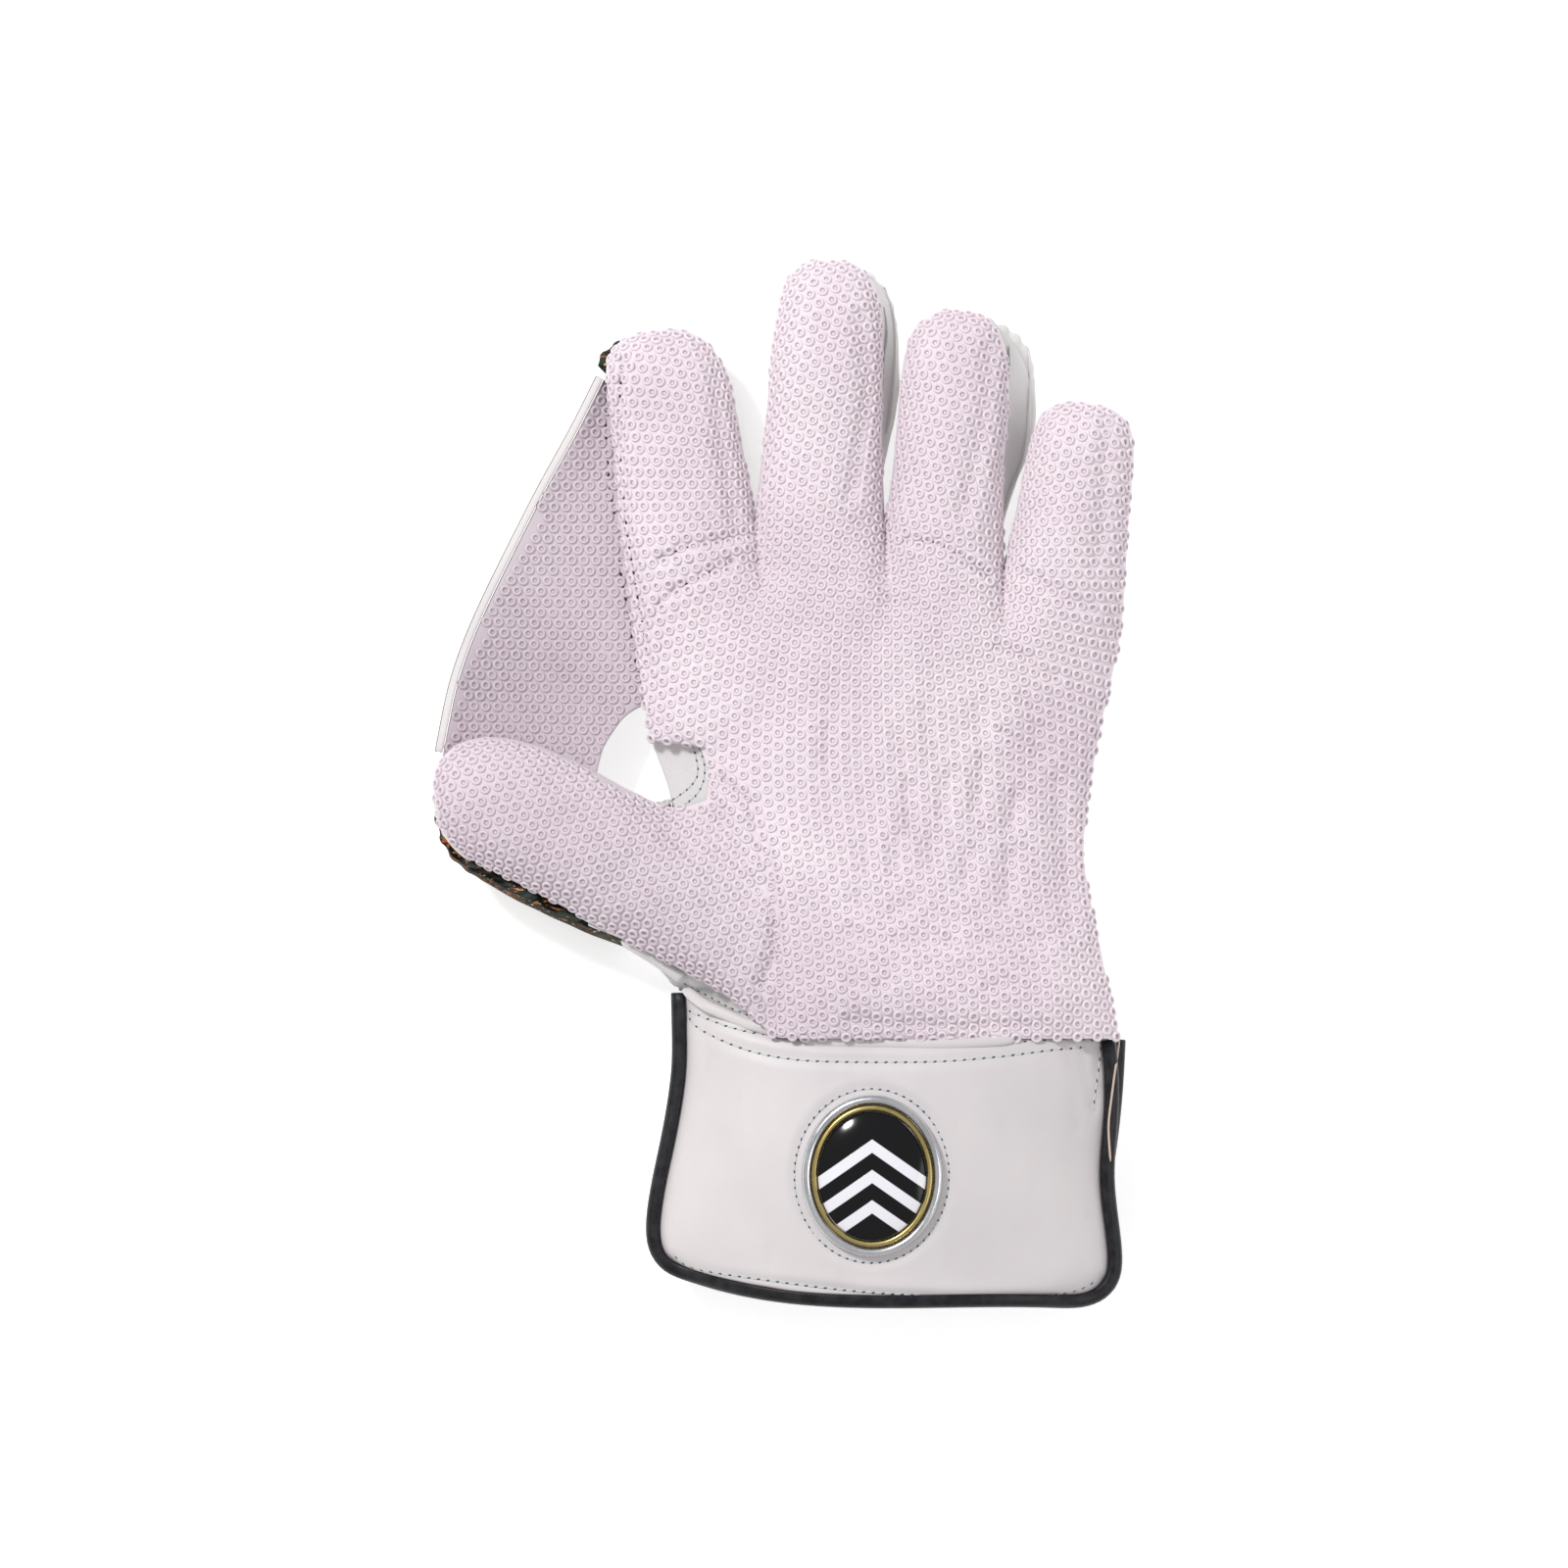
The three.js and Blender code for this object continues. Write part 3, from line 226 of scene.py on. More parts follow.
def suede_finish(name, light, shade):
    """Napped leather."""
    finish = Finish(name, Specular_IOR_Level=0.1, Sheen_Weight=0.5, Sheen_Roughness=0.5)
    colour, broad = finish.clouded(light, shade, 30, 5, 0.65)
    nap = finish.noise(1500, 3, 0.7)
    colour = finish.over(nap, 0.4, 0.75, colour, shade, 0.6)
    finish.bump((nap, 0.6, 0.25), (broad, 0.3, 0.8))
    return finish.paint(colour, finish.ramp(nap, (0.3, 0.85), (0.7, 0.98)))


def print_finish(name):
    """A dark mottle of green-black patches with bronze and cream flecks drawn out one way."""
    finish = Finish(name, Specular_IOR_Level=0.2, IOR=1.12)
    streaks = finish.stretched(1, 2.4, 1.6)
    patches = finish.noise(70, 3, 0.5, streaks, 1.4)
    flecks = finish.noise(150, 2, 0.5, streaks, 2.2)
    edge = finish.noise(190, 2, 0.5, streaks, 2.2)
    pores = finish.pores(1500)
    colour = finish.ramp(patches, (0.44, (0.006, 0.007, 0.006)), (0.5, (0.018, 0.024, 0.02)),
                         (0.62, (0.045, 0.055, 0.045)))
    colour = finish.over(flecks, 0.6, 0.63, colour, (0.32, 0.1, 0.03))
    colour = finish.over(edge, 0.66, 0.69, colour, (0.68, 0.5, 0.33))
    finish.bump((pores, 0.3, 0.12))
    return finish.paint(colour, finish.ramp(patches, (0.3, 0.5), (0.7, 0.65)))


def binding_finish(name):
    """Black leather, creased where it is folded round an edge."""
    finish = Finish(name, Specular_IOR_Level=0.25)
    wrinkles = finish.noise(260, 4, 0.6)
    pores = finish.pores(1300)
    colour = finish.ramp(wrinkles, (0.35, (0.006, 0.006, 0.008)), (0.75, (0.022, 0.022, 0.026)))
    finish.bump((pores, 0.35, 0.12), (wrinkles, 0.35, 0.35))
    return finish.paint(colour, finish.ramp(wrinkles, (0.3, 0.34), (0.7, 0.5)))


def metal_finish(name, light, shade, roughness):
    """Polished metal with a faint brushing."""
    finish = Finish(name, Metallic=1.0)
    brushed = finish.noise(500, 3, 0.6)
    colour, _ = finish.clouded(light, shade, 60, 2, 0.65)
    finish.bump((brushed, 0.12, 0.06))
    return finish.paint(colour, finish.ramp(brushed, (0.3, roughness * 0.8), (0.7, roughness * 1.3)))


# Chevrons of the badge: step and range in millimetres above its centre, measured on its axis, the steepness
# of their arms, and the place in its step from which a chevron is white
CHEVRON = {"step": 9.5, "shift": 0.5, "from": -14.5, "to": 14.0, "slope": 0.7, "white": (0.27, 0.29)}


def enamel_finish(name, black, white, centre):
    """Glossy enamel with raised white chevrons, one over the other."""
    finish = Finish(name, Roughness=0.12, Specular_IOR_Level=0.25)
    split = finish.add("ShaderNodeSeparateXYZ", Vector=finish.place).outputs
    aside = finish.maths("ABSOLUTE", finish.maths("SUBTRACT", split["X"], centre.x), 0)
    above = finish.maths("SUBTRACT", split["Y"], centre.y)
    climb = finish.maths("ADD", above, finish.maths("MULTIPLY", aside, CHEVRON["slope"]))
    share = finish.maths("ADD", finish.maths("DIVIDE", climb, CHEVRON["step"] * MM), CHEVRON["shift"])
    band = finish.maths("PINGPONG", share, 0.5)
    low = finish.maths("GREATER_THAN", climb, CHEVRON["from"] * MM)
    high = finish.maths("LESS_THAN", climb, CHEVRON["to"] * MM)
    within = finish.maths("MULTIPLY", low, high)
    dark, pale = CHEVRON["white"]
    mask = finish.maths("MULTIPLY", finish.ramp(band, (dark, 0), (pale, 1)), within)
    scratches = finish.noise(400, 2)
    finish.bump((mask, 0.5, 0.35), (scratches, 0.03, 0.05))
    return finish.paint(finish.mix(mask, black, white))


def plain_finish(name, light, shade, scale, roughness, strength=0.2):
    """Two close colours in a grain of a scale."""
    finish = Finish(name)
    grain = finish.noise(scale, 3)
    finish.bump((grain, strength, 0.1))
    rough = finish.ramp(grain, (0.3, roughness), (0.7, roughness + 0.1))
    return finish.paint(finish.mix(grain, light, shade), rough)


LEATHER_LIGHT = (0.66, 0.62, 0.625)
LEATHER_SHADE = (0.58, 0.545, 0.555)
GREY_LEATHER = ((0.72, 0.70, 0.70), (0.62, 0.60, 0.60))
RUBBER_LIGHT = (0.80, 0.715, 0.76)
RUBBER_SHADE = (0.73, 0.635, 0.69)

RUBBER = rubber_finish("pimpled_rubber", RUBBER_LIGHT, RUBBER_SHADE)
CUT_EDGE = suede_finish("cut_rubber_edge", (0.55, 0.53, 0.54), (0.36, 0.35, 0.35))
CUFF_LEATHER = leather_finish("cuff_leather", LEATHER_LIGHT, LEATHER_SHADE)
BACK_LEATHER = leather_finish("back_leather", *GREY_LEATHER)
SUEDE = suede_finish("suede", (0.62, 0.61, 0.605), (0.52, 0.51, 0.505))
PATCH_SUEDE = suede_finish("patch_suede", (0.71, 0.685, 0.69), (0.63, 0.607, 0.61))
PRINT = print_finish("mottled_print")
BINDING = binding_finish("binding_leather")
SILVER = metal_finish("silver", (0.66, 0.67, 0.70), (0.5, 0.51, 0.54), 0.25)
GOLD = metal_finish("gold", (0.5, 0.4, 0.17), (0.38, 0.29, 0.1), 0.32)
BADGE_CENTRE = sum(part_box("badge_dome"), Vector()) / 2
ENAMEL = enamel_finish("badge_enamel", (0.004, 0.004, 0.005), (0.78, 0.77, 0.82), BADGE_CENTRE)
OLIVE = leather_finish("web_edge", (0.16, 0.145, 0.10), (0.09, 0.08, 0.055))
# Ring finishes: their third colour is painted shade, in the rings' wells and round their feet
PIMPLE = rubber_finish("pimples", RUBBER_LIGHT, RUBBER_SHADE, (0.26, 0.19, 0.235))
# The web's rubber and rings are darker than the palm's: painted shade where the web lies recessed between
# index and thumb
WEB_RUBBER_PAINTED_SHADE = rubber_finish("web_rubber_painted_shade", (0.63, 0.55, 0.595), (0.56, 0.48, 0.53))
WEB_PIMPLE_PAINTED_SHADE = rubber_finish("web_pimples", (0.65, 0.57, 0.615), (0.58, 0.50, 0.55), (0.28, 0.21, 0.25))
TAN = plain_finish("tan_edge", (0.62, 0.50, 0.42), (0.50, 0.40, 0.33), 900, 0.7)
# Painted shadow inside the needle holes
NEEDLE_HOLE_SHADOW = plain_finish("needle_hole_shadow", (0.07, 0.095, 0.115), (0.035, 0.05, 0.06), 2000, 0.7)
# Grey of the facing's cut edges beside the gussets, partly the edge's own colour and partly painted seam shade
EDGE_GREY_AND_SEAM_SHADE = plain_finish("edge_grey_and_seam_shade", (0.52, 0.53, 0.535), (0.4, 0.41, 0.415), 900, 0.8)
# Painted shadow for the gaps between rings along the sharpest folds
PAINTED_GAP_SHADOW = plain_finish("painted_gap_shadow", (0.045, 0.035, 0.035), (0.02, 0.015, 0.015), 900, 0.9)
THREAD = plain_finish("pale_thread", (0.62, 0.66, 0.66), (0.42, 0.47, 0.47), 3000, 0.6)


# Skins: smooth copies of the CAD solids
CREASE_OVER = math.radians(50)
CREASE = 0.85
# How bent and how skew a quad made of two triangles may be
QUAD_BEND, QUAD_SKEW = math.radians(35), math.radians(70)


def linked(name, data):
    """A new object in the scene."""
    obj = bpy.data.objects.new(name, data)
    bpy.context.scene.collection.objects.link(obj)
    return obj


def placed(name, mesh, slot, *finishes):
    """A piece of the glove from a mesh."""
    obj = linked(name, mesh)
    for finish in finishes:
        mesh.materials.append(finish)
    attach(obj, "root")
    return obj


def built(name, points, polygons, slot, finish):
    """A smooth piece of the glove from points and polygons."""
    mesh = bpy.data.meshes.new(name)
    mesh.from_pydata(points, [], polygons)
    mesh.shade_smooth()
    return placed(name, mesh, slot, finish)


def welded(node):
    """A CAD node's mesh in quads, with its sharp edges creased. The faces beyond them are marked 1."""
    bm = bmesh.new()
    bm.from_mesh(NODES[node].data)
    bmesh.ops.remove_doubles(bm, verts=bm.verts, dist=WELD)
    bmesh.ops.join_triangles(bm, faces=bm.faces, angle_face_threshold=QUAD_BEND,
                             angle_shape_threshold=QUAD_SKEW)
    crease = bm.edges.layers.float.new("crease_edge")
    for edge in bm.edges:
        if len(edge.link_faces) == 2 and edge.calc_face_angle(0) > CREASE_OVER:
            edge[crease] = CREASE
    for face in bm.faces:
        face.smooth = True
        face.material_index = 1
    top = max(bm.faces, key=lambda face: face.calc_center_median().z)
    found = [top]
    top.material_index = 0
    while found:
        for edge in found.pop().edges:
            if edge[crease] == 0:
                for other in edge.link_faces:
                    if other.material_index:
                        other.material_index = 0
                        found.append(other)
    return bm


def smoothed(bm, name, level):
    """The subdivided mesh of a bmesh, which it frees."""
    cage = bpy.data.meshes.new(name)
    bm.to_mesh(cage)
    bm.free()
    obj = linked(name + "_cage", cage)
    modifier = obj.modifiers.new("smooth", "SUBSURF")
    modifier.levels = modifier.render_levels = level
    depsgraph = bpy.context.evaluated_depsgraph_get()
    mesh = bpy.data.meshes.new_from_object(obj.evaluated_get(depsgraph))
    mesh.name = name
    bpy.data.objects.remove(obj)
    return mesh


def points_of(mesh):
    """A mesh's vertices as rows of an array."""
    points = np.empty(len(mesh.vertices) * 3)
    mesh.vertices.foreach_get("co", points)
    return points.reshape(-1, 3)


def move_points(mesh, points):
    mesh.vertices.foreach_set("co", points.ravel())


def tree_of(places):
    """A search tree of places."""
    tree = KDTree(len(places))
    for k, place in enumerate(places):
        tree.insert(place, k)
    tree.balance()
    return tree


def rim_of(mesh):
    """The vertices on the edge between the faces marked 0 and the others."""
    marks = np.empty(len(mesh.polygons), int)
    mesh.polygons.foreach_get("material_index", marks)
    inside = {v for polygon in mesh.polygons if marks[polygon.index] == 0 for v in polygon.vertices}
    outside = {v for polygon in mesh.polygons if marks[polygon.index] for v in polygon.vertices}
    return sorted(inside & outside)


def rim_distance(mesh, points):
    """How far each point lies in plan from the edge of the faces marked 0."""
    tree = tree_of([(points[v][0], points[v][1], 0) for v in rim_of(mesh)])
    return np.array([tree.find((x, y, 0))[2] for x, y, _ in points])


def path_distance(points, pixels):
    """How far each point lies in plan from a polyline given in pixels of the photograph."""
    corners = [np.array(at(*p)[:2]) for p in pixels]
    plan = points[:, :2]
    nearest = np.full(len(points), np.inf)
    for a, b in zip(corners, corners[1:]):
        along = b - a
        share = np.clip((plan - a) @ along / (along @ along), 0, 1)
        nearest = np.minimum(nearest, np.linalg.norm(plan - a - share[:, None] * along, axis=1))
    return nearest


def fold(points, pixels, depth, width, shoulder=0.3):
    """A fold along a polyline: a groove of a depth and half width in millimetres between low shoulders."""
    away = path_distance(points, pixels) / (width * MM)
    return depth * MM * (shoulder * np.exp(-((away - 2) ** 2)) - np.exp(-(away ** 2)))


def ripple(points, size, height, stretch=(1, 1), seed=0):
    """Soft unevenness of a size and height in millimetres."""
    scale = 1 / (size * MM)
    return height * MM * np.array([
        noise.noise((x * scale * stretch[0], y * scale * stretch[1], seed)) for x, y, _ in points
    ])


# Folds of the rubber facing: polyline in pixels of the photograph, depth and half width in millimetres
FACING_FOLDS = [
    # finger roots
    ([(672, 571), (687, 564), (700, 559), (722, 555), (762, 546)], 1.1, 1.6),
    ([(674, 615), (682, 607), (693, 599), (719, 587), (730, 581), (745, 574)], 1.1, 1.6),
    ([(743, 575), (785, 577), (820, 588), (889, 592)], 0.5, 2.8),
    ([(925, 553), (951, 552), (962, 558), (978, 566), (991, 575), (1006, 586)], 1.2, 1.5),
    ([(907, 612), (928, 619), (945, 630)], 0.6, 2.0),
    ([(1042, 584), (1070, 598), (1084, 607), (1098, 612), (1112, 622)], 1.0, 1.8),
    # side of the index finger
    ([(636, 368), (633, 399), (632, 435), (635, 488), (640, 543), (645, 574), (652, 618), (660, 680)],
     1.5, 1.5),
    # grooves inside the fingers' right edges
    ([(729, 385), (733, 440), (742, 500), (750, 540)], 0.9, 2.2),
    ([(877, 325), (884, 401), (878, 439), (872, 487), (865, 509)], 1.0, 2.4),
    ([(1009, 358), (1004, 412), (997, 458), (989, 493), (984, 523)], 0.9, 2.6),
    ([(1129, 433), (1126, 466), (1124, 506), (1122, 547), (1118, 574)], 1.0, 2.4),
    ([(934, 480), (936, 541)], 0.5, 2.6),
    # slanting creases below the little finger
    ([(1017, 660), (1040, 667), (1059, 683), (1075, 690)], 0.8, 1.7),
    ([(1022, 745), (1040, 754), (1059, 763), (1073, 766)], 0.8, 1.7),
    ([(1043, 710), (1052, 720)], 0.7, 2.0),
    # dents of the palm
    ([(999, 724), (1004, 750)], 0.7, 2.9),
    ([(942, 727), (949, 745)], 0.7, 2.6),
    ([(842, 748), (842, 776)], 0.9, 2.6),
    ([(914, 752), (920, 768)], 0.9, 2.6),
    ([(924, 806), (926, 848)], 1.1, 2.5),
    ([(966, 794), (962, 828)], 1.0, 2.5),
    ([(1000, 774), (996, 822)], 1.1, 2.5),
    ([(1036, 812), (1031, 842)], 1.1, 2.5),
    ([(948, 856), (951, 878)], 0.9, 2.5),
    ([(913, 860), (913, 884)], 0.9, 2.5),
    ([(880, 868), (885, 888)], 0.8, 2.5),
    ([(1029, 874), (1026, 916)], 1.1, 2.6),
    ([(987, 872), (982, 904)], 0.8, 2.6),
    ([(876, 915), (900, 935), (932, 918)], 0.9, 2.6),
    ([(975, 940), (970, 958)], 0.7, 2.6),
    ([(1077, 800), (1084, 860), (1087, 908), (1089, 945)], 1.0, 3.2),
    # creases at the wrist
    ([(868, 952), (900, 956), (932, 959), (999, 960), (1067, 957)], 0.8, 2.4),
    ([(868, 1003), (900, 1005)], 0.7, 2.0),
    ([(1006, 1005), (1031, 1003)], 0.7, 2.0),
    ([(864, 1039), (941, 1046), (1062, 1046)], 0.9, 2.0),
    # crease round the thumb's root
    ([(735, 796), (765, 820), (778, 862), (788, 899), (792, 939), (789, 975), (778, 1000)], 1.4, 2.2),
    ([(679, 850), (706, 872)], 0.6, 2.0),
]
# Raised pad at the wrist: path, rise and half width in millimetres
WRIST_PAD = {"path": [(860, 1010), (950, 1012), (1080, 1008)], "rise": 1.2, "width": 9.0}
RIM_FADE = 5.0  # millimetres over which folds fade towards a sheet's edge

# Edges that are moved sideways to where the photograph shows them: path in its pixels, direction, and how
# far the edge moves and the move reaches in millimetres
PRINT_EDGE = [(445, 800), (452, 842), (480, 884), (512, 905), (560, 928), (604, 948), (640, 966)]
PRINT_SIDE = (-0.45, -0.89, 0)
FACING_MOVES = [
    (PRINT_EDGE, PRINT_SIDE, -2.6, 16),
    ([(985, 316), (1012, 322), (1027, 345), (1029, 385), (1026, 430), (1021, 470)], (1, 0.1, 0), 1.3, 11),
]
SHOWN = (0.85, 0.52, 0)
MIDDLE_MOVE = [(848, 266), (885, 266), (909, 295), (916, 350), (914, 410), (906, 480)], SHOWN, 1.7, 11
RING_MOVE = [(982, 316), (1022, 318), (1049, 345), (1057, 400), (1050, 470), (1033, 535)], SHOWN, 2.2, 12
MOVES = {
    "thumb_back": (PRINT_EDGE, PRINT_SIDE, 1.0, 10),
    "index_back": ([(632, 342), (613, 358), (605, 382), (610, 412)], (-0.96, 0.28, 0), 1.4, 9),
    "middle_back": MIDDLE_MOVE,
    "middle_gusset_right": MIDDLE_MOVE,
    "ring_back": RING_MOVE,
    "ring_gusset_right": RING_MOVE,
}


def pushed(points, pixels, direction, amount, reach):
    """Moves points beside a polyline by up to an amount, less towards its ends. Lengths in millimetres."""
    start, end = (np.array(at(*pixels[k])[:2]) for k in (0, -1))
    run = end - start
    share = np.clip((points[:, :2] - start) @ run / (run @ run), 0, 1)
    near = np.clip(1 - path_distance(points, pixels) / (reach * MM), 0, 1)
    points += (amount * MM * np.sin(np.pi * share) ** 0.6 * near)[:, None] * np.array(direction)


def shape_facing(mesh):
    points = points_of(mesh)
    for move in FACING_MOVES:
        pushed(points, *move)
    rise = sum(fold(points, *row) for row in FACING_FOLDS)
    pad = path_distance(points, WRIST_PAD["path"]) / (WRIST_PAD["width"] * MM)
    rise += WRIST_PAD["rise"] * MM * np.exp(-(pad ** 2))
    rise += ripple(points, 16, 1.0, (1.0, 0.8), 3) + ripple(points, 9, 0.5, (1.2, 0.6), 7)
    away = rim_distance(mesh, points) / (RIM_FADE * MM)
    points[:, 2] += rise * np.clip(away, 0, 1) ** 1.5
    move_points(mesh, points)


# Stitch rows of the front flap, in pixels of the photograph
CUFF_SEAMS = {
    "wrist_seam_upper": [(704, 1032), (743, 1047), (788, 1056), (881, 1064), (933, 1067), (1019, 1063),
                         (1088, 1060), (1124, 1062)],
    "wrist_seam_lower": [(704, 1040), (716, 1051), (754, 1068), (795, 1078), (847, 1082), (950, 1082),
                         (1019, 1077), (1070, 1071), (1112, 1068)],
    "mouth_seam": [(690, 1283), (709, 1294), (778, 1304), (881, 1316), (984, 1321), (1060, 1321),
                   (1100, 1316), (1122, 1304)],
    "side_seam": [(1123, 1070), (1121, 1090), (1118, 1110), (1115, 1135)],
}
BADGE_SEAM = {"centre": (889, 1198), "radii": (78.5, 88.5)}


def oval(centre, radii, count=48):
    angles = [2 * math.pi * k / count for k in range(count + 1)]
    return [(centre[0] + radii[0] * math.sin(a), centre[1] - radii[1] * math.cos(a)) for a in angles]


# The front flap is a little wider than its solid: moves of its left and right edges and of its mouth,
# and how far its rim reaches out under the binding, in millimetres
CUFF_SPREAD = {"left": -2.3, "right": 2.6, "mouth": -1.2}
CUFF_REACH = 0.6
# Pixels between which those moves change: from left to right, and from the badge's middle to the mouth
CUFF_SIDES = (690, 1128)
CUFF_FALL = (1200, 1325)
# Folds beside the right seam: polyline, depth and half width in millimetres
CUFF_FOLDS = [
    ([(1104, 1072), (1108, 1100), (1112, 1130)], 0.7, 1.6),
    ([(1092, 1075), (1098, 1105), (1098, 1150)], 0.4, 2.0),
    ([(1116, 1070), (1116, 1096)], 0.6, 1.2),
]
SEAM_SHOULDER = 0.15


def spread(points):
    """Moves the front flap's points and those of its binding."""
    left, right = (at(px, 0).x for px in CUFF_SIDES)
    share = np.clip((points[:, 0] - left) / (right - left), 0, 1)
    points[:, 0] += (CUFF_SPREAD["left"] * (1 - share) + CUFF_SPREAD["right"] * share) * MM
    top, mouth = (at(0, py).y for py in CUFF_FALL)
    down = np.clip((top - points[:, 1]) / (top - mouth), 0, 1)
    points[:, 1] += CUFF_SPREAD["mouth"] * MM * down


def shape_binding(mesh):
    points = points_of(mesh)
    spread(points)
    move_points(mesh, points)


def shape_cuff(mesh):
    points = points_of(mesh)
    spread(points)
    rise = ripple(points, 30, 1.0, (1, 1), 11) + ripple(points, 9, 0.22, (1.4, 0.5), 13)
    away = rim_distance(mesh, points) / (RIM_FADE * MM)
    rise *= np.clip(away, 0, 1)
    for row in CUFF_SEAMS.values():
        rise += fold(points, row, 0.55, 1.5, SEAM_SHOULDER)
    rise += fold(points, oval(**BADGE_SEAM), 0.55, 1.4, SEAM_SHOULDER)
    for folds in CUFF_FOLDS:
        rise += fold(points, *folds)
    points[:, 2] += rise
    out = np.array([(v.normal.x, v.normal.y, 0) for v in mesh.vertices])
    points += CUFF_REACH * MM * out
    move_points(mesh, points)


# Gathers round the tips of the fingers' backs: root and tip in pixels of the photograph, pleats in all,
# where their fan starts as a share of the way to the tip, and how deep they are in millimetres
PLEATS = {
    "index_back": ((712, 560), (680, 337), 20, 0.8, 0.45),
    "middle_back": ((848, 545), (868, 268), 22, 0.84, 0.6),
    "ring_back": ((970, 575), (1006, 318), 22, 0.82, 0.6),
    "little_back": ((1090, 600), (1114, 415), 20, 0.76, 0.55),
    "thumb_back": ((700, 900), (450, 820), 20, 0.8, 0.5),
}
# Shares of the length: how far behind its start the fan has its pivot, and where the pleats begin and
# over what stretch they grow
FAN_PIVOT, PLEATS_BEFORE, PLEATS_GROW = 0.3, 0.14, 0.3
FLOOR_CLEAR = 0.6  # points nearer the floor than this stay, in millimetres


def pleated(root, tip, count, start, depth):
    """A shape that gathers a back round its tip."""
    base, end = at(*root), at(*tip)
    along = np.array((end - base).normalized())
    across = np.array((along[1], -along[0], 0))
    length = (end - base).length
    centre = np.array(base) + along * length * start

    def shape(mesh):
        points = points_of(mesh)
        normals = np.array([v.normal[:] for v in mesh.vertices])
        ahead, aside = (points - centre) @ along, (points - centre) @ across
        angle = np.arctan2(aside, ahead + FAN_PIVOT * length)
        grown = np.clip((ahead / length + PLEATS_BEFORE) / PLEATS_GROW, 0, 1) ** 1.5
        sway = ripple(points, 12, 1000, (1, 1), 21)
        wave = np.sin(angle * count * 2 + 0.8 * sway)
        wave = np.sign(wave) * np.abs(wave) ** 0.7
        rise = depth * MM * grown * wave + ripple(points, 10, 0.5, (1, 1), 23)
        points += normals * rise[:, None] * (points[:, 2:] > FLOOR_CLEAR * MM)
        move_points(mesh, points)

    return shape


def moved(move, before=None):
    """A shape that moves an edge sideways, after another shape."""

    def shape(mesh):
        if before:
            before(mesh)
        points = points_of(mesh)
        pushed(points, *move)
        move_points(mesh, points)

    return shape


def skin(node, finish, edge=None, level=3, shape=None, choose=None):
    """A smooth piece in place of a CAD node. shape moves its points, and choose picks a face's finish."""
    mesh = smoothed(welded(node), node + "_skin", level)
    if shape:
        shape(mesh)
    if choose:
        for polygon in mesh.polygons:
            polygon.material_index = int(choose(polygon.center, polygon.normal))
    obj = placed(node + "_skin", mesh, SLOT_OF[node], finish, edge or finish)
    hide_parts(node)
    return obj


PRINT_END = at(640, 0).x  # where the thumb's print ends
PLAIN_FLANK = 12 * MM  # how much sooner it ends on the side of the gap


def beside_gap(place, normal):
    """The thumb's back is plain leather towards the through gap and the wrist."""
    return place.x > PRINT_END or (normal.y > 0 and place.x > PRINT_END - PLAIN_FLANK)


def outer_edge(place, normal):
    """The outer side of the web's band is darker."""
    return normal.z < 0.5 and normal.x < 0


PLAIN_NODES = [
    "middle_back", "ring_back", "little_back", "index_gusset_right", "middle_gusset_left",
    "middle_gusset_right", "ring_gusset_left", "ring_gusset_right", "little_gusset_left",
]
SKINS = {
    "palm_facing": {"finish": RUBBER, "edge": CUT_EDGE, "shape": shape_facing},
    "web_panel": {"finish": WEB_RUBBER_PAINTED_SHADE, "edge": CUT_EDGE},
    "hand_back": {"finish": BACK_LEATHER, "level": 2},
    "thumb_back": {"finish": PRINT, "edge": BACK_LEATHER, "choose": beside_gap},
    "index_back": {"finish": PRINT},
    **{node: {"finish": BACK_LEATHER} for node in PLAIN_NODES},
    "crotch_patch": {"finish": PATCH_SUEDE},
    "wrist_gusset": {"finish": SUEDE},
    "web_binding": {"finish": CUFF_LEATHER, "edge": OLIVE, "choose": outer_edge},
    "cuff_front": {"finish": CUFF_LEATHER, "shape": shape_cuff},
    "cuff_back": {"finish": CUFF_LEATHER, "level": 2},
    "cuff_front_binding": {"finish": BINDING, "level": 2, "shape": shape_binding},
    "cuff_back_binding": {"finish": BINDING, "level": 2},
    "badge_rim": {"finish": SILVER, "level": 2},
    "badge_gold_rim": {"finish": GOLD, "level": 2},
    "badge_dome": {"finish": ENAMEL, "level": 2},
}
for node, row in PLEATS.items():
    SKINS[node]["shape"] = pleated(*row)
for node, move in MOVES.items():
    SKINS[node]["shape"] = moved(move, SKINS[node].get("shape"))
skins = {node: skin(node, **settings) for node, settings in SKINS.items()}


# Pimples: raised rings in a hexagonal lattice on the rubber, laid out on the flattened sheet.
# Lengths in millimetres.
PITCH = 3.88
PIMPLE_MARGIN = 1.2  # from a sheet's edge to a pimple's middle
CLOSEST_PIMPLES = 2.9  # between the thumb's and the palm's
BARE_OVER = 2.7  # a spot this far from all rings gets one
FILL_PITCH = 0.9  # between the spots that are tried
STEEPEST = 0.37  # the least upward share of the skin's normal under a pimple
SKIN_SHARE = 0.6  # how far a pimple leans from its layout's normal to the skin's
# Rings of a pimple from its foot to its well: radius, height, and how dark its painted shade makes it
PIMPLE_RINGS = [(1.8, -0.25, 0.5), (1.74, 0.4, 0.04), (1.46, 0.76, 0.0),
                (1.04, 0.78, 0.05), (0.68, 0.36, 0.4), (0.46, -0.05, 0.9)]
PIMPLE_SIDES = 10
PIMPLE_WIDTHS, PIMPLE_HEIGHTS = (0.95, 1.04), (0.8, 1.1)  # ranges of their sizes
PIMPLE_SEED = 5
UPRIGHT_ROWS = {"turn": 0, "upright": True}
THUMB_ROWS = {"turn": 12, "upright": False}
WEB_ROWS = {"turn": 0, "upright": False}
LAYOUT_LEVEL = 2
UNWRAP_ROUNDS = 30
ON_SHEET = 1e-7  # a place this near the flat layout lies on it, in metres
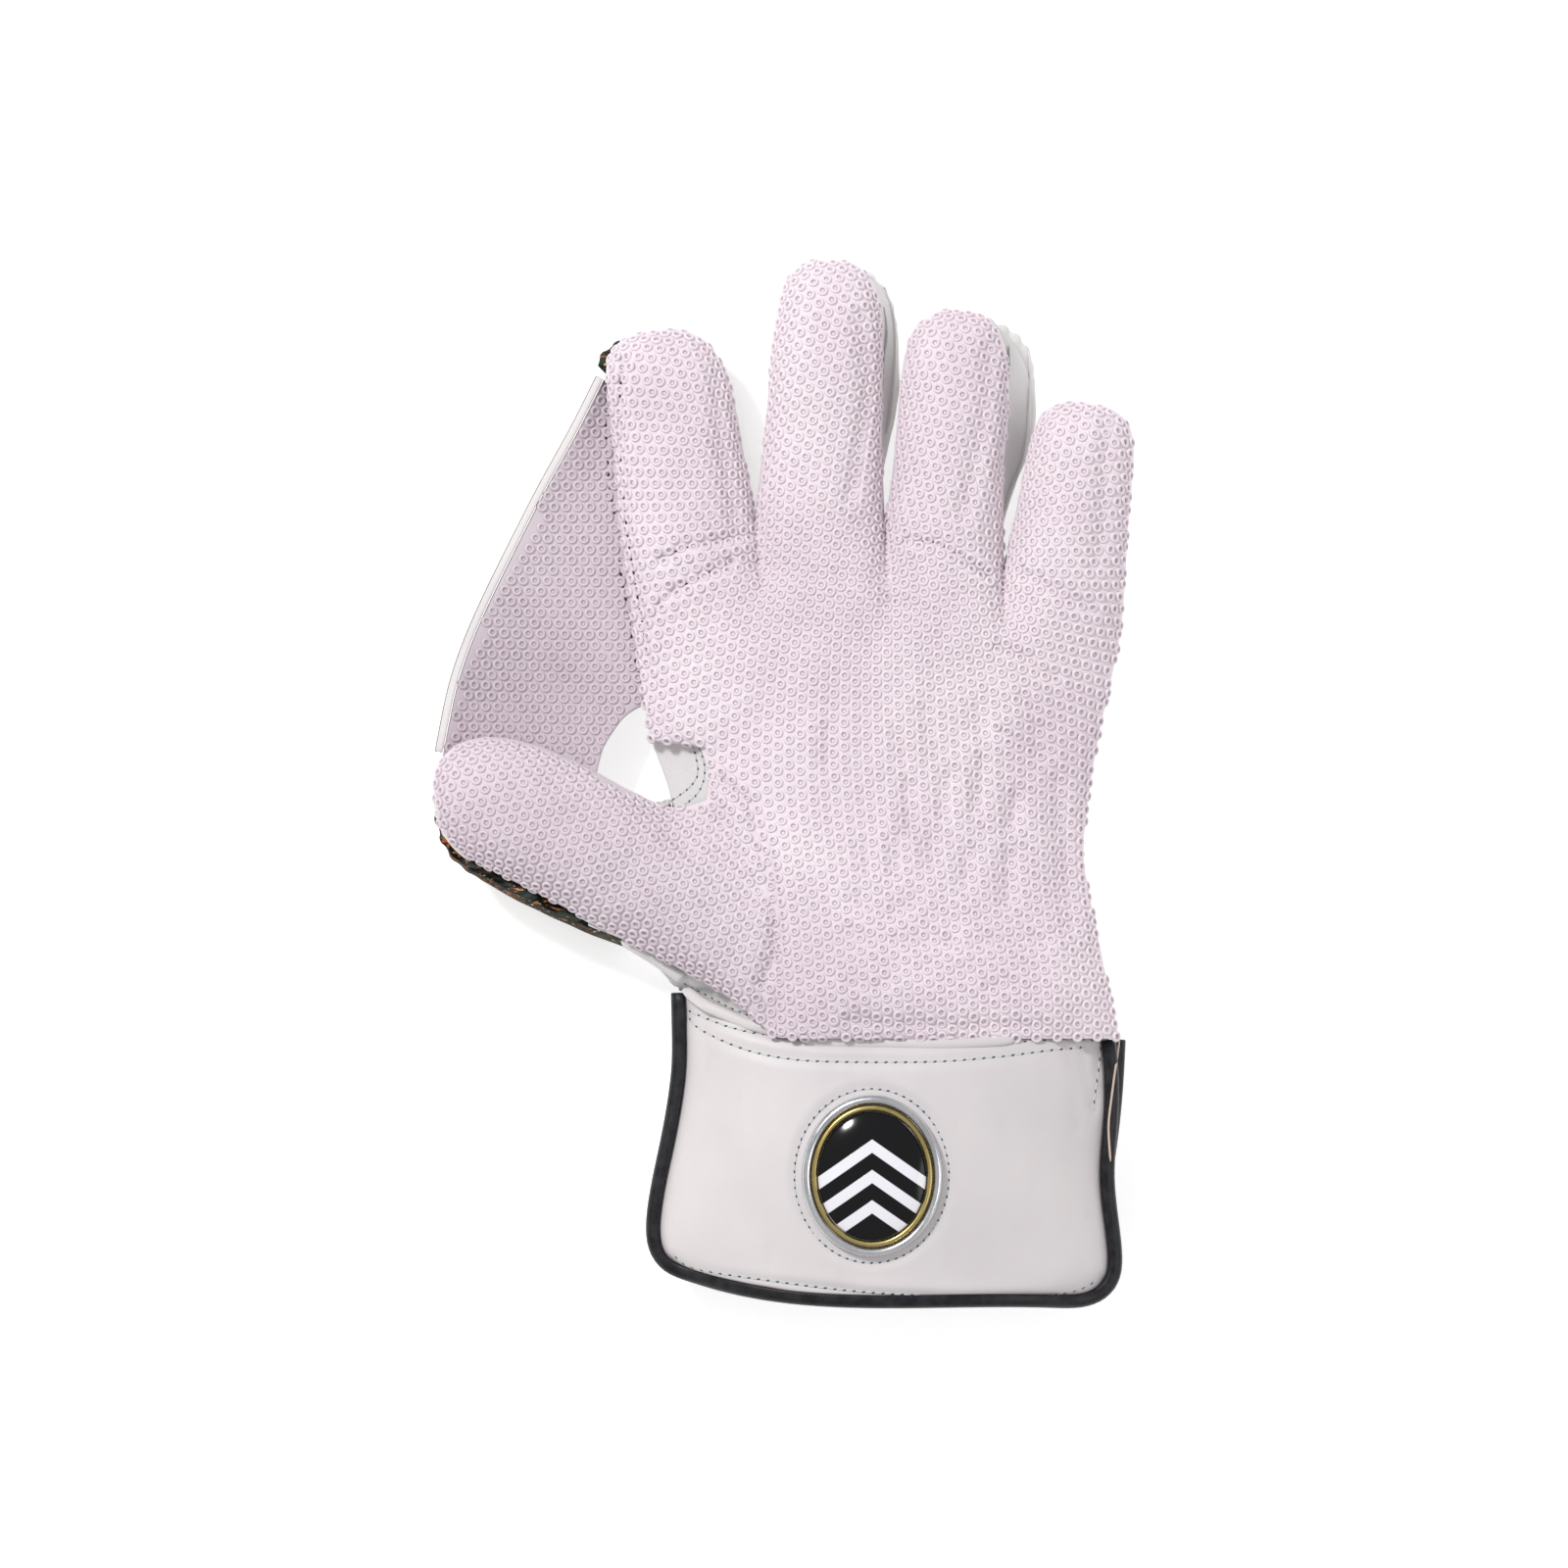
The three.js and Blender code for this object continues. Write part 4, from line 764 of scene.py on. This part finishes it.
FINGER_ROOTS = 580  # the pixel row that parts the fingers' pimples from the palm's
THENAR_EDGE = [(640, 700), (655, 760), (700, 785), (735, 796), (765, 820), (778, 862), (788, 899), (792, 939),
               (789, 975), (778, 1000), (765, 1070)]


def left_of_thenar(place):
    """Whether a place belongs to the thumb: left of the crease that runs from the crotch to the wrist."""
    px, py = pixel_of(place)
    for (x0, y0), (x1, y1) in zip(THENAR_EDGE, THENAR_EDGE[1:]):
        if y0 <= py < y1:
            return px < x0 + (x1 - x0) * (py - y0) / (y1 - y0)
    return False


def flattened(source, wanted):
    """The wanted faces of a mesh as triangles, with their flat layout in metres turned as in plan."""
    bm = bmesh.new()
    bm.from_mesh(source)
    bmesh.ops.delete(bm, geom=[face for face in bm.faces if not wanted(face)], context="FACES")
    bmesh.ops.triangulate(bm, faces=bm.faces)
    mesh = bpy.data.meshes.new("flat")
    bm.to_mesh(mesh)
    bm.free()
    mesh.uv_layers.new(name="flat")
    obj = linked("flat", mesh)
    bpy.context.view_layer.objects.active = obj
    bpy.ops.object.mode_set(mode="EDIT")
    bpy.ops.mesh.select_all(action="SELECT")
    bpy.ops.uv.unwrap(method="MINIMUM_STRETCH", margin=0, iterations=UNWRAP_ROUNDS)
    bpy.ops.object.mode_set(mode="OBJECT")
    mesh = obj.data
    corners = np.array([p.vertices[:] for p in mesh.polygons])
    flat = np.empty(len(mesh.loops) * 2)
    mesh.uv_layers.active.data.foreach_get("uv", flat)
    flat = flat.reshape(-1, 3, 2)
    solid = points_of(mesh)
    normals = np.array([v.normal[:] for v in mesh.vertices])
    bpy.data.objects.remove(obj)
    a, b, c = (solid[corners[:, k]] for k in range(3))
    area = np.linalg.norm(np.cross(b - a, c - a), axis=1).sum()
    u, v = flat[:, 1] - flat[:, 0], flat[:, 2] - flat[:, 0]
    flat_area = np.abs(u[:, 0] * v[:, 1] - u[:, 1] * v[:, 0]).sum()
    flat = (flat - flat.mean((0, 1))) * math.sqrt(area / flat_area)
    plan = solid[corners][:, :, :2]
    plan = plan - plan.mean((0, 1))
    turn = math.atan2((flat[..., 0] * plan[..., 1] - flat[..., 1] * plan[..., 0]).sum(),
                      (flat * plan).sum())
    cos, sin = math.cos(turn), math.sin(turn)
    flat = flat @ np.array([[cos, sin], [-sin, cos]])
    return corners, flat, solid, normals


def lattice(low, high, turn, upright, pitch):
    """Hexagonal lattice points over a box. Rows run upright or level, turned anticlockwise by degrees."""
    reach = int(np.linalg.norm(high - low) / pitch) + 2
    middle = (low + high) / 2
    cos, sin = math.cos(math.radians(turn)), math.sin(math.radians(turn))
    for i in range(-reach, reach + 1):
        for j in range(-reach, reach + 1):
            across, along = i * pitch * math.sqrt(0.75), (j + (i % 2) / 2) * pitch
            x, y = (across, along) if upright else (along, across)
            place = middle + np.array((x * cos - y * sin, x * sin + y * cos))
            if (place > low).all() and (place < high).all():
                yield place


def pimple_places(layout, turn, upright, margin=PIMPLE_MARGIN, pitch=PITCH * MM):
    """Lattice places on a layout's solid with their normals, a margin or more from the layout's edge."""
    corners, flat, solid, normals = layout
    tree = BVHTree.FromPolygons([(x, y, 0) for x, y in flat.reshape(-1, 2)],
                                [(3 * k, 3 * k + 1, 3 * k + 2) for k in range(len(corners))])
    edges = {}
    for face, triangle in enumerate(corners):
        for k in range(3):
            key = tuple(sorted((triangle[k], triangle[(k + 1) % 3])))
            edges.setdefault(key, []).append((face, k))
    rim = []
    for uses in edges.values():
        if len(uses) == 1:
            face, k = uses[0]
            a, b = flat[face][k], flat[face][(k + 1) % 3]
            rim += [a, (2 * a + b) / 3, (a + 2 * b) / 3]
    rim_tree = tree_of([(x, y, 0) for x, y in rim])
    for x, y in lattice(flat.min((0, 1)), flat.max((0, 1)), turn, upright, pitch):
        _, _, face, distance = tree.find_nearest((x, y, 0))
        if distance > ON_SHEET or rim_tree.find((x, y, 0))[2] < margin * MM:
            continue
        spot, triangle = Vector((x, y, 0)), [Vector((*p, 0)) for p in flat[face]]
        place, normal = (barycentric_transform(spot, *triangle, *map(Vector, rows[corners[face]]))
                         for rows in (solid, normals))
        yield place, normal.normalized()


def add_pimples(name, places, chance, finish):
    """One joined mesh of rings, each a little different."""
    sides = PIMPLE_SIDES
    angles = [2 * math.pi * k / sides for k in range(sides)]
    shape = [(r * math.cos(a), r * math.sin(a), h) for r, h, _ in PIMPLE_RINGS for a in angles]
    shape = np.array([*shape, (0, 0, 0)]) * MM
    starts = [i * sides for i in range(len(PIMPLE_RINGS))]
    faces = [(a + k, a + (k + 1) % sides, b + (k + 1) % sides, b + k)
             for a, b in zip(starts, starts[1:]) for k in range(sides)]
    faces += [(starts[-1] + k, starts[-1] + (k + 1) % sides, len(shape) - 1) for k in range(sides)]
    points, polygons, painted_ring_shades = [], [], []
    # each point's share of painted shade
    depth = [dark for *_, dark in PIMPLE_RINGS for _ in range(sides)] + [1.0]
    for place, normal in places:
        turned = np.array(normal.to_track_quat("Z", "Y").to_matrix())
        size = np.array([chance.uniform(*PIMPLE_WIDTHS)] * 2 + [chance.uniform(*PIMPLE_HEIGHTS)])
        start = len(points)
        points.extend((shape * size) @ turned.T + np.array(place))
        polygons.extend(tuple(start + v for v in face) for face in faces)
        painted_ring_shades.extend(depth)
    pimples = built(name, points, polygons, "rubber_facing", finish)
    pimples.data.attributes.new("painted_ring_shade", "FLOAT", "POINT").data.foreach_set("value", painted_ring_shades)


def top_face(face):
    return face.material_index == 0


def clear_of(rim, places):
    """The places that keep the pimples' margin from a sheet's edge."""
    return ((p, n) for p, n in places if rim.find(p)[2] > PIMPLE_MARGIN * MM)


def on_skin(node, places):
    """The places moved on to a skin."""
    tree = BVHTree.FromObject(skins[node], bpy.context.evaluated_depsgraph_get())
    for place, normal in places:
        foot, facing, _, _ = tree.find_nearest(place)
        if facing.z > STEEPEST:
            yield foot, normal.lerp(facing, SKIN_SHARE).normalized()


def apart(places, others):
    """The places that lie clear of the others."""
    tree = tree_of([place for place, _ in others])
    return [(p, n) for p, n in places if tree.find(p)[2] > CLOSEST_PIMPLES * MM]


def filling(candidates, others):
    """Candidates that lie in the bare spots that the others leave."""
    tree = tree_of([place for place, _ in others])
    bare = BARE_OVER * MM
    added = []
    for place, normal in candidates:
        if tree.find(place)[2] > bare and all((place - p).length > bare for p, _ in added):
            added.append((place, normal))
    return added


def pimpled_pieces():
    """The pimples of palm, fingers, thumb and web."""
    chance = random.Random(PIMPLE_SEED)
    facing = smoothed(welded("palm_facing"), "facing_layout", LAYOUT_LEVEL)
    shape_facing(facing)

    def side(is_thumb):
        return flattened(facing, lambda face: top_face(face)
                         and left_of_thenar(face.calc_center_median()) == is_thumb)

    hand, thumb = side(False), side(True)
    sheet = flattened(skins["web_panel"].data, top_face)
    facing_points = points_of(facing)
    rim = tree_of([facing_points[v] for v in rim_of(facing)])

    def rows_on(layout, rows, pitch=PITCH):
        places = pimple_places(layout, **rows, margin=0, pitch=pitch * MM)
        return on_skin("palm_facing", clear_of(rim, places))

    palm, fingers = [], []
    for place, normal in rows_on(hand, UPRIGHT_ROWS):
        (fingers if place.y > at(0, FINGER_ROOTS).y else palm).append((place, normal))
    thumbs = apart(rows_on(thumb, THUMB_ROWS), palm)
    for layout in (thumb, hand):
        thumbs += filling(rows_on(layout, UPRIGHT_ROWS, FILL_PITCH), palm + fingers + thumbs)
    add_pimples("palm_pimples", palm, chance, PIMPLE)
    add_pimples("finger_pimples", fingers, chance, PIMPLE)
    add_pimples("thumb_pimples", thumbs, chance, PIMPLE)
    covered = BVHTree.FromObject(skins["palm_facing"], bpy.context.evaluated_depsgraph_get())
    in_sight = [(p, n) for p, n in pimple_places(sheet, **WEB_ROWS)
                if covered.ray_cast(p + n * MM, UP)[0] is None]
    add_pimples("web_pimples", in_sight, chance, WEB_PIMPLE_PAINTED_SHADE)


pimpled_pieces()


# Stitches, needle holes (dark dashes of painted shadow) and cords, cast down on whatever lies uppermost
ABOVE_ALL = 200 * MM
CURVE_STEPS = 24  # points between two of a polyline's


def cast_down(ground, place):
    """Where a vertical line through a place first meets a ground, and the ground's normal there."""
    return ground.ray_cast(Vector((place.x, place.y, ABOVE_ALL)), -UP)[:2]


def surface(*nodes):
    """A tree of the skins of some nodes, to find heights on."""
    points, polygons = [], []
    for node in nodes:
        mesh = skins[node].data
        start = len(points)
        points.extend(v.co.copy() for v in mesh.vertices)
        polygons.extend(tuple(start + v for v in polygon.vertices) for polygon in mesh.polygons)
    return BVHTree.FromPolygons(points, polygons)


def spaced(pixels, step):
    """Points along a polyline given in pixels, a step in millimetres apart, on a smooth curve."""
    knots = [at(*p) for p in pixels]
    curve = []
    for k in range(len(knots) - 1):
        a, b, c, d = (knots[min(len(knots) - 1, max(0, k + i))] for i in (-1, 0, 1, 2))
        for t in np.linspace(0, 1, CURVE_STEPS, endpoint=False):
            curve.append(0.5 * (2 * b + (c - a) * t + (2 * a - 5 * b + 4 * c - d) * t ** 2
                                + (3 * b - a - 3 * c + d) * t ** 3))
    curve.append(knots[-1])
    lengths = np.cumsum([0] + [(q - p).length for p, q in zip(curve, curve[1:])])
    count = int(lengths[-1] / (step * MM))
    places = np.linspace(0, lengths[-1], count + 1)
    xs, ys = ([c[axis] for c in curve] for axis in (0, 1))
    return [Vector((x, y, 0)) for x, y in zip(np.interp(places, lengths, xs), np.interp(places, lengths, ys))]


def tube(start, rings, sides):
    """The faces of a closed tube whose rings of points follow each other from a first index."""
    faces = []
    for ring in range(start, start + (rings - 1) * sides, sides):
        for k in range(sides):
            j = (k + 1) % sides
            faces.append((ring + k, ring + j, ring + sides + j, ring + sides + k))
    last = start + (rings - 1) * sides
    return faces + [tuple(start + k for k in reversed(range(sides))), tuple(last + k for k in range(sides))]


# Half a stitch's outline: shares of its length and of its width
DASH = [(-0.5, 0.25), (-0.42, 0.75), (-0.2, 1), (0.2, 1), (0.42, 0.75), (0.5, 0.25)]
DASH_SIDES = 8


def dashes(name, rows, ground, slot, finish, length, width, height, share=0.5, slant=0.0, pitch=3.0):
    """Small lozenges along polylines. share is their place between one point and the next."""
    points, polygons = [], []
    for row in rows:
        steps = spaced(row, pitch)
        for a, b in zip(steps, steps[1:]):
            centre = a.lerp(b, share)
            hit, normal = cast_down(ground, centre)
            if hit is None:
                continue
            along = (b - a).normalized()
            along.rotate(Matrix.Rotation(math.radians(slant), 3, "Z"))
            along = (along - normal * along.dot(normal)).normalized()
            across = normal.cross(along)
            start = len(points)
            for place, size in DASH:
                for k in range(DASH_SIDES):
                    angle = 2 * math.pi * k / DASH_SIDES
                    aside = across * size * width / 2 * MM * math.cos(angle)
                    points.append(hit + along * place * length * MM + aside
                                  + normal * size * height * MM * math.sin(angle))
            polygons += tube(start, len(DASH), DASH_SIDES)
    built(name, points, polygons, slot, finish)


def sewn(name, rows, ground, slot, pitch=3.0, slant=14):
    """A seam: thread lying between needle holes, drawn as dark dashes of painted shadow."""
    dashes(name + "_thread", rows, ground, slot, THREAD,
           length=0.66 * pitch, width=0.5, height=0.2, pitch=pitch)
    dashes(name + "_hole_shadows", rows, ground, slot, NEEDLE_HOLE_SHADOW,
           length=0.38 * pitch, width=0.6, height=0.14, share=0.0, slant=slant, pitch=pitch)


CORD_SIDES = 10
CORD_TAPER = 2.2  # how fast a cord swells from its ends


def cord(name, pixels, ground, finish, width, height, sink, step=1.5, smooth=6):
    """A flattened roll of leather along a polyline, sunk into what lies under it. Lengths in millimetres."""
    places, heights = [], []
    for p in spaced(pixels, step):
        hit = cast_down(ground, p)[0]
        if hit is not None:
            places.append(p)
            heights.append(hit.z)
    heights = [max(heights[max(0, k - 2):k + 3]) for k in range(len(heights))]
    window = np.ones(smooth) / smooth
    heights = np.convolve(np.pad(heights, (smooth // 2, smooth - 1 - smooth // 2), "edge"), window, "valid")
    points = []
    for k, p in enumerate(places):
        along = (places[min(k + 1, len(places) - 1)] - places[max(k - 1, 0)]).normalized()
        across = Vector((-along.y, along.x, 0))
        ends = math.sqrt(math.sin(math.pi * (k + 0.4) / len(places)))
        size = min(1.0, CORD_TAPER * ends)
        centre = Vector((p.x, p.y, heights[k] - sink * MM))
        for i in range(CORD_SIDES):
            angle = 2 * math.pi * i / CORD_SIDES
            points.append(centre + across * width / 2 * size * MM * math.cos(angle)
                          + Vector((0, 0, height * size * MM * math.sin(angle))))
    built(name, points, tube(0, len(places), CORD_SIDES), "leather", finish)


# The rolled seam between the wrist gusset and the front flap, and the leather that shows under the facing
WRIST_ROLL = [(698, 1008), (709, 1018), (728, 1030), (748, 1039), (778, 1048), (802, 1056)]
WRIST_STRIP = [(790, 1056), (840, 1062), (900, 1063), (960, 1064), (1020, 1061), (1070, 1057), (1122, 1056)]
TAN_LINE = [(1143, 1062), (1138, 1090), (1134, 1120), (1131, 1150), (1133, 1185)]

# Edges that show at the thumb: the facing's cut edge, the inner side at the gap, and below the thumb's root
THUMB_CUT = [(446, 812), (450, 835), (460, 856), (474, 871), (494, 884), (516, 895), (544, 909), (578, 927),
             (612, 943), (642, 959)]
THUMB_INNER = [(632, 798), (644, 802), (658, 809), (674, 818), (690, 829)]
THUMB_ROOT = [(636, 957), (656, 969), (676, 982), (698, 998)]

# Cords: path, the nodes that they lie on, finish, and width, height and sink in millimetres
THUMB_GROUND = ("thumb_back", "wrist_gusset", "crotch_patch")
CORDS = {
    "wrist_roll": (WRIST_ROLL, ("cuff_front", "wrist_gusset"), CUFF_LEATHER, 3.8, 1.3, 0.1),
    "wrist_strip": (WRIST_STRIP, ("cuff_front",), CUFF_LEATHER, 3.4, 0.9, 0.1),
    "binding_edge": (TAN_LINE, ("cuff_back_binding", "cuff_front_binding"), TAN, 0.7, 0.35, 0.1),
    "thumb_cut_edge": (THUMB_CUT, ("thumb_back", "palm_facing"), PATCH_SUEDE, 1.7, 0.8, 0.5),
    "thumb_inner_edge": (THUMB_INNER, THUMB_GROUND, PATCH_SUEDE, 4.4, 1.3, 0.4),
    "thumb_root_edge": (THUMB_ROOT, THUMB_GROUND, BACK_LEATHER, 4.6, 1.3, 0.4),
}
for name, (path, nodes, *settings) in CORDS.items():
    cord(name, path, surface(*nodes), *settings)

# Cut edges of the facing beside the gussets, grey cords whose dark is partly painted seam shade, and the seams
# between gussets and backs
FACING_EDGES = {
    "middle": [(902, 312), (905, 339), (902, 366), (900, 401), (898, 433), (899, 460),
               (901, 493), (903, 520)],
    "ring": [(1030, 352), (1030, 377), (1026, 417), (1022, 455), (1020, 493), (1021, 533),
             (1024, 573)],
}
BACK_SEAMS = {
    "middle": [(903, 293), (911, 320), (913, 358), (909, 412), (904, 442)],
    "ring": [(1035, 323), (1046, 342), (1052, 369), (1050, 412), (1046, 455), (1040, 479), (1031, 501),
             (1025, 520)],
}
for finger, path in FACING_EDGES.items():
    ground = surface(finger + "_gusset_right", finger + "_back")
    cord(finger + "_facing_edge", path, ground, EDGE_GREY_AND_SEAM_SHADE, 0.8, 0.5, 0.1)
    cord(finger + "_back_seam", BACK_SEAMS[finger], ground, BACK_LEATHER, 1.1, 0.4, 0.1)
    sewn(finger + "_back_stitches", [BACK_SEAMS[finger]], ground, "leather", 2.2)

# Dark dashes of painted shadow in the gaps between the rings along the sharpest folds
DEEP_FOLDS = [
    [(617, 401), (618, 446), (622, 498), (628, 533), (633, 585), (639, 615), (647, 668), (653, 693)],
    [(635, 372), (633, 399), (632, 435), (635, 488), (640, 543), (645, 574), (652, 618), (658, 650),
     (661, 680)],
]
BASE_FOLDS = [
    [(934, 554), (951, 552), (962, 558), (978, 566), (991, 575)],
    [(672, 571), (687, 564), (700, 559), (722, 555)],
    [(684, 606), (699, 597), (719, 587), (729, 581)],
]
folds_ground = surface("palm_facing", "web_panel")
dashes("fold_gap_shadows", DEEP_FOLDS, folds_ground, "rubber_facing", PAINTED_GAP_SHADOW, 1.3, 0.9, 0.35, pitch=3.85)
dashes("base_gap_shadows", BASE_FOLDS, folds_ground, "rubber_facing", PAINTED_GAP_SHADOW, 1.0, 0.6, 0.35, pitch=3.6)

sewn("cuff_seam", CUFF_SEAMS.values(), surface("cuff_front"), "leather")
sewn("badge_seam", [oval(**BADGE_SEAM)], surface("cuff_front"), "leather", 2.6)
PATCH_SEAMS = [
    [(704, 752), (710, 772), (712, 790), (704, 803), (688, 815), (672, 823)],
    [(714, 764), (719, 782), (717, 800), (708, 814), (696, 822)],
]
sewn("patch_seam", PATCH_SEAMS, surface("crotch_patch"), "suede", 2.4)
GUSSET_SEAM = [(699, 1004), (722, 1016), (750, 1030), (784, 1043)]
sewn("wrist_gusset_seam", [GUSSET_SEAM], surface("wrist_gusset"), "suede", 2.4)


# Floor, light and camera
FLOOR_GLOW = 0.5  # keeps the floor pale where the glove shades it
FLOOR_HALF = 6.0
SKY = 0.57
LIGHTS = [
    {"name": "key", "place": (-1.05, 1.1, 1.9), "size": 0.4, "power": 40},
    {"name": "fill", "place": (1.7, -0.5, 1.5), "size": 1.2, "power": 9},
]


def stage():
    mesh = bpy.data.meshes.new("floor")
    corners = [(x * FLOOR_HALF, y * FLOOR_HALF, 0) for x, y in ((-1, -1), (1, -1), (1, 1), (-1, 1))]
    mesh.from_pydata(corners, [], [(0, 1, 2, 3)])
    floor = linked("floor", mesh)
    paper = plain_finish("floor_paper", (0.93, 0.93, 0.93), (0.9, 0.9, 0.9), 40, 0.8, 0.02)
    shader = paper.node_tree.nodes["Principled BSDF"]
    shader.inputs["Emission Color"].default_value = (1, 1, 1, 1)
    shader.inputs["Emission Strength"].default_value = FLOOR_GLOW
    mesh.materials.append(paper)


def light(name, place, size, power, target=(0, 0, 0.02)):
    data = bpy.data.lights.new(name, "AREA")
    data.shape = "DISK"
    data.size = size
    data.energy = power
    lamp = linked(name, data)
    lamp.location = place
    lamp.rotation_euler = (Vector(target) - Vector(place)).to_track_quat("-Z", "Y").to_euler()


def studio():
    world = bpy.data.worlds.new("studio")
    world.use_nodes = True
    sky = world.node_tree.nodes["Background"].inputs
    sky["Color"].default_value = (1, 1, 1, 1)
    sky["Strength"].default_value = SKY
    bpy.context.scene.world = world
    for row in LIGHTS:
        light(**row)
    bpy.context.scene.view_settings.view_transform = "Standard"


# The camera looks straight down, as the photograph's does
CAMERA_HEIGHT = 4.0
FRAME_WIDTH = IMAGE * PIXEL * MM
MIDDLE_HEIGHT = 0.025  # the height at which a pixel is PIXEL wide


def camera():
    data = bpy.data.cameras.new("camera")
    data.sensor_width = 36
    data.lens = data.sensor_width * CAMERA_HEIGHT / FRAME_WIDTH
    data.clip_end = 20
    cam = linked("camera", data)
    middle = at(IMAGE / 2, IMAGE / 2)
    cam.location = (middle.x, middle.y, MIDDLE_HEIGHT + CAMERA_HEIGHT)
    bpy.context.scene.camera = cam


stage()
studio()
camera()
